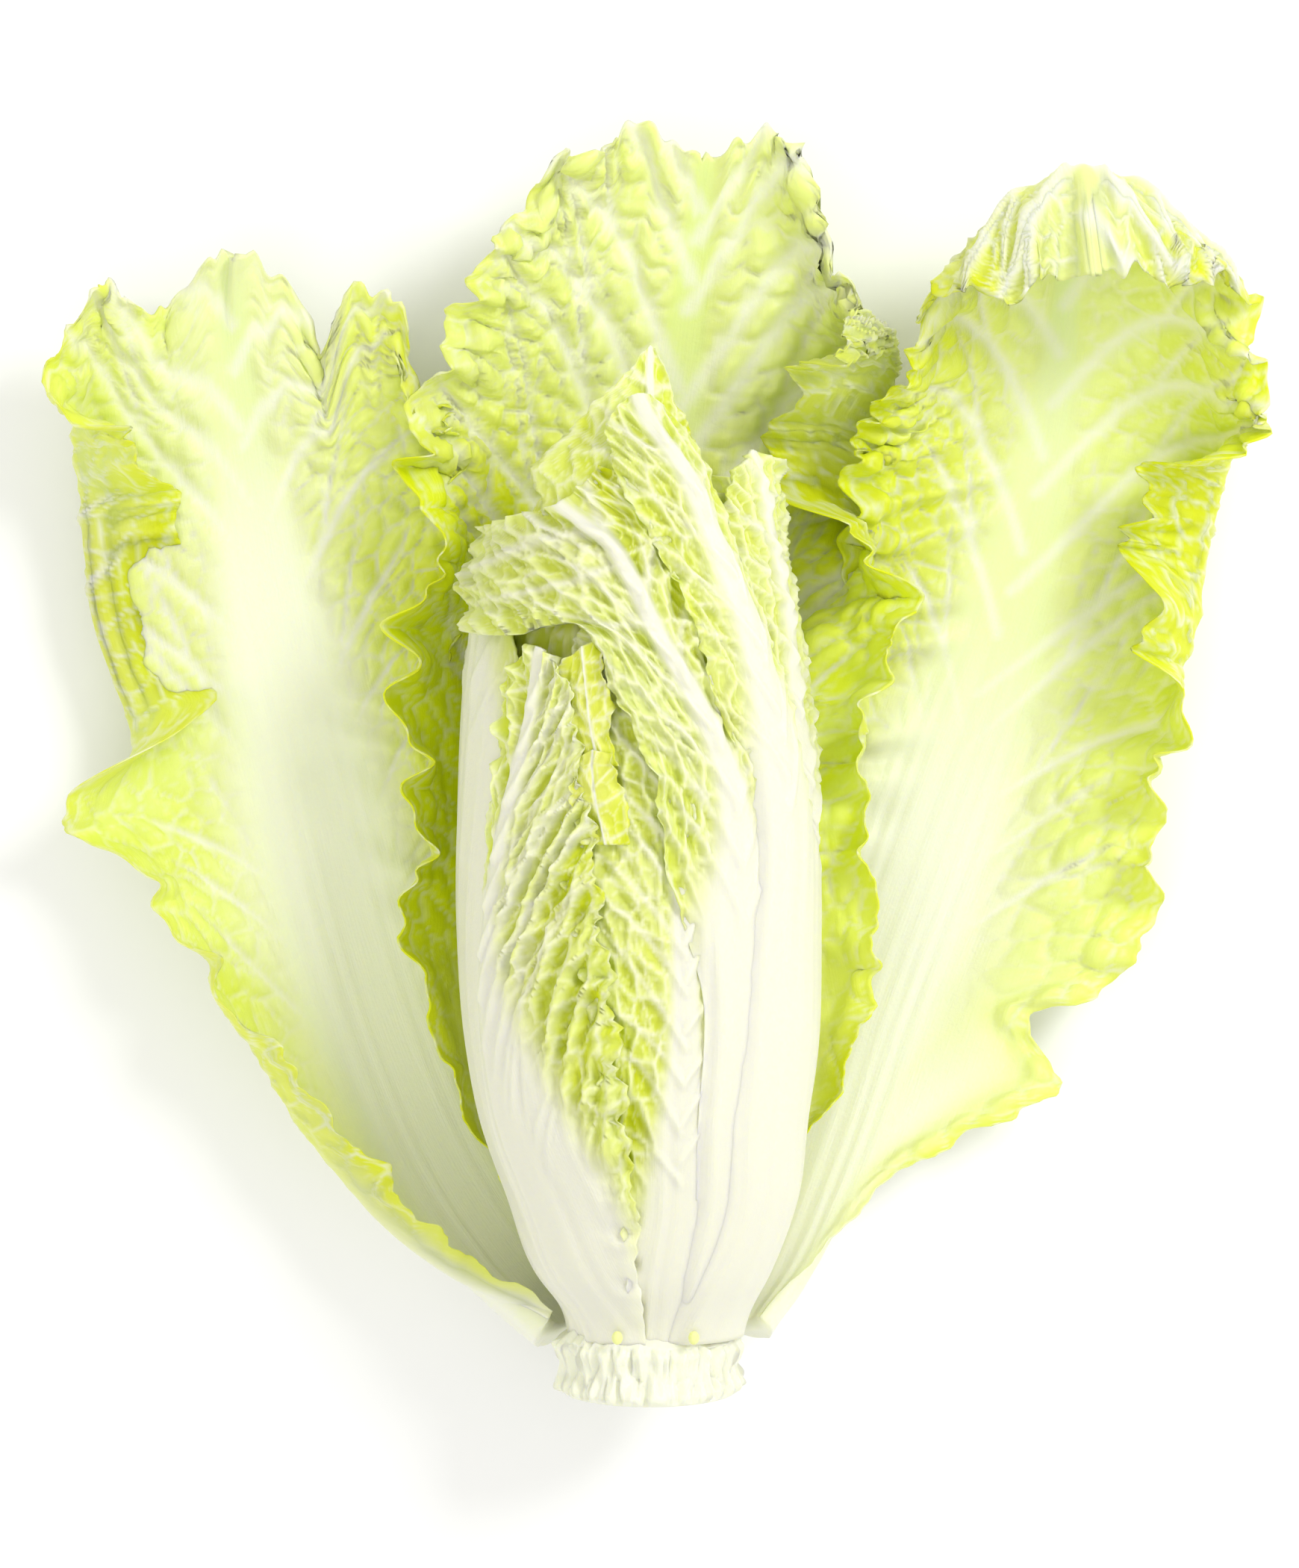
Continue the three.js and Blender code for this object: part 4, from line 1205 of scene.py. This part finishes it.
def stump():
    """The stem end, cut a little askew, with scars of old leaves round it."""
    rings = []
    angle = 2 * np.pi * np.arange(240) / 240
    scar_turn = angle * STUMP_HALF_WIDTH / SCAR_PITCH
    for y in np.linspace(0, STUMP_TOP, 44):
        size = through(STUMP_PROFILE, y)[0]
        scarred = ramp(0, 1.5, y) * ramp(STUMP_RIM, STUMP_RIM - 1.5, y)
        scar = np.abs(noise(scar_turn * 0.6, 0 * angle + y / 11, 3)) ** 0.6
        scar = scar + 0.4 * noise(scar_turn * 2.6, 0 * angle + y / 5, 4)
        reach = 1.0 + (scar - 0.75) * 0.15 * scarred
        x = STUMP_HALF_WIDTH * size * reach * np.sin(angle)
        z = STUMP_AXIS_HEIGHT + STUMP_HALF_DEPTH * size * reach * np.cos(angle)
        slant = 1.2 * (1 - np.cos(angle)) * (1 - y / STUMP_RIM)
        rough = 1.2 * noise(angle * 11, 0 * angle + y / 6, 6) * ramp(8, 12, y) * (1 - scarred)
        rings.append(np.stack([x, STUMP_START + y + slant + rough, z], -1))
    return ringed("stump", rings, [0.9, 0, 0.1, 1])


def bud(name, x):
    rings = []
    angle = 2 * np.pi * np.arange(24) / 24
    for a in np.linspace(0.12, math.pi - 0.12, 16):
        y = BUD_Y - BUD_HALF_LENGTH * math.cos(a) + 0 * angle
        radius = BUD_RADIUS * math.sin(a) * (1 + 0.08 * np.cos(3 * angle))
        rings.append(np.stack([x + radius * np.sin(angle), y, BUD_HEIGHT + 0.8 * radius * np.cos(angle)], -1))
    return ringed(name, rings, [0.2, 0.1, 0.35, 1])


def grid_lines(wanted):
    """An odd number of grid lines, so that one of them is the rib."""
    return int(wanted * DETAIL) // 2 * 2 + 1


for name, table in (
    ("open_leaf_left", LEFT_LEAF), ("open_leaf_centre", CENTRE_LEAF), ("open_leaf_right", RIGHT_LEAF),
):
    leaf_piece = open_leaf(name, table, grid_lines(340), grid_lines(52))
    place_piece(leaf_piece, outer_look, name)
for name, table, rows, columns in (
    ("heart_leaf_back", HEART_BACK, 90, 60),
    ("heart_leaf_side", HEART_SIDE, 180, 70),
    ("heart_leaf_far_left", HEART_FAR_LEFT, 100, 50),
    ("heart_leaf_left", HEART_LEFT, 220, 100),
    ("heart_leaf_seam", HEART_SEAM, 220, 80),
    ("heart_leaf_cap", HEART_CAP, 212, 112),
    ("heart_leaf_right", HEART_RIGHT, 240, 90),
    ("heart_leaf_tip", HEART_TIP, 80, 80),
):
    leaf_piece = wrapped_leaf(name, table, grid_lines(rows), grid_lines(columns))
    place_piece(leaf_piece, heart_look, name)
for name, table in (("inner_tip_upper", INNER_TIP_UPPER), ("inner_tip_lower", INNER_TIP_LOWER)):
    leaf_piece = wrapped_leaf(name, table, grid_lines(50), grid_lines(30))
    place_piece(leaf_piece, inner_look, name)
place_piece(heart_core(), inner_look, "heart_core")
place_piece(stump(), stump_look, "stump")
place_piece(bud("bud_left", -8), bud_look, "bud_left")
place_piece(bud("bud_right", 11), bud_look, "bud_right")


# ---------------------------------------------------------------- floor, light, camera
# These lengths are metres.
FLOOR_SIZE = 8
CAMERA_HEIGHT = 1.04


def plain(name, colour, rough):
    material = bpy.data.materials.new(name)
    material.use_nodes = True
    shader = material.node_tree.nodes["Principled BSDF"]
    shader.inputs["Base Color"].default_value = (*colour, 1)
    shader.inputs["Roughness"].default_value = rough
    return material


bpy.ops.mesh.primitive_plane_add(size=FLOOR_SIZE, location=(0, 0, 0))
floor = bpy.context.object
floor.name = "floor"
floor.data.materials.append(plain("floor", (0.97, 0.97, 0.97), 0.7))


def disk_light(name, place, aim, size, power):
    data = bpy.data.lights.new(name, "AREA")
    data.shape = "DISK"
    data.size = size
    data.energy = power
    lamp = bpy.data.objects.new(name, data)
    bpy.context.scene.collection.objects.link(lamp)
    lamp.location = place
    lamp.rotation_mode = "QUATERNION"
    lamp.rotation_quaternion = (Vector(aim) - Vector(place)).to_track_quat("-Z", "Y")


disk_light("key", (0.75, 0.55, 1.0), (0, 0, 0.03), 0.45, 7.4)
disk_light("fill", (-0.3, -0.5, 1.5), (0, 0, 0), 1.2, 4.2)
world = bpy.data.worlds.new("world")
bpy.context.scene.world = world
world.use_nodes = True
sky = world.node_tree.nodes["Background"]
sky.inputs["Color"].default_value = (1, 0.995, 0.965, 1)
sky.inputs["Strength"].default_value = 0.84

# The camera hangs over the head and looks straight down.
camera_data = bpy.data.cameras.new("camera")
camera_data.sensor_width = 36
camera_data.lens = 90
camera_data.clip_start = 0.05
camera = bpy.data.objects.new("camera", camera_data)
bpy.context.scene.collection.objects.link(camera)
camera.location = (SHIFT_X * MM, (PHOTO_CENTRE_Y + SHIFT_Y) * MM, CAMERA_HEIGHT)
bpy.context.scene.camera = camera
bpy.context.scene.view_settings.view_transform = "Standard"
bpy.context.scene.view_settings.exposure = -0.03
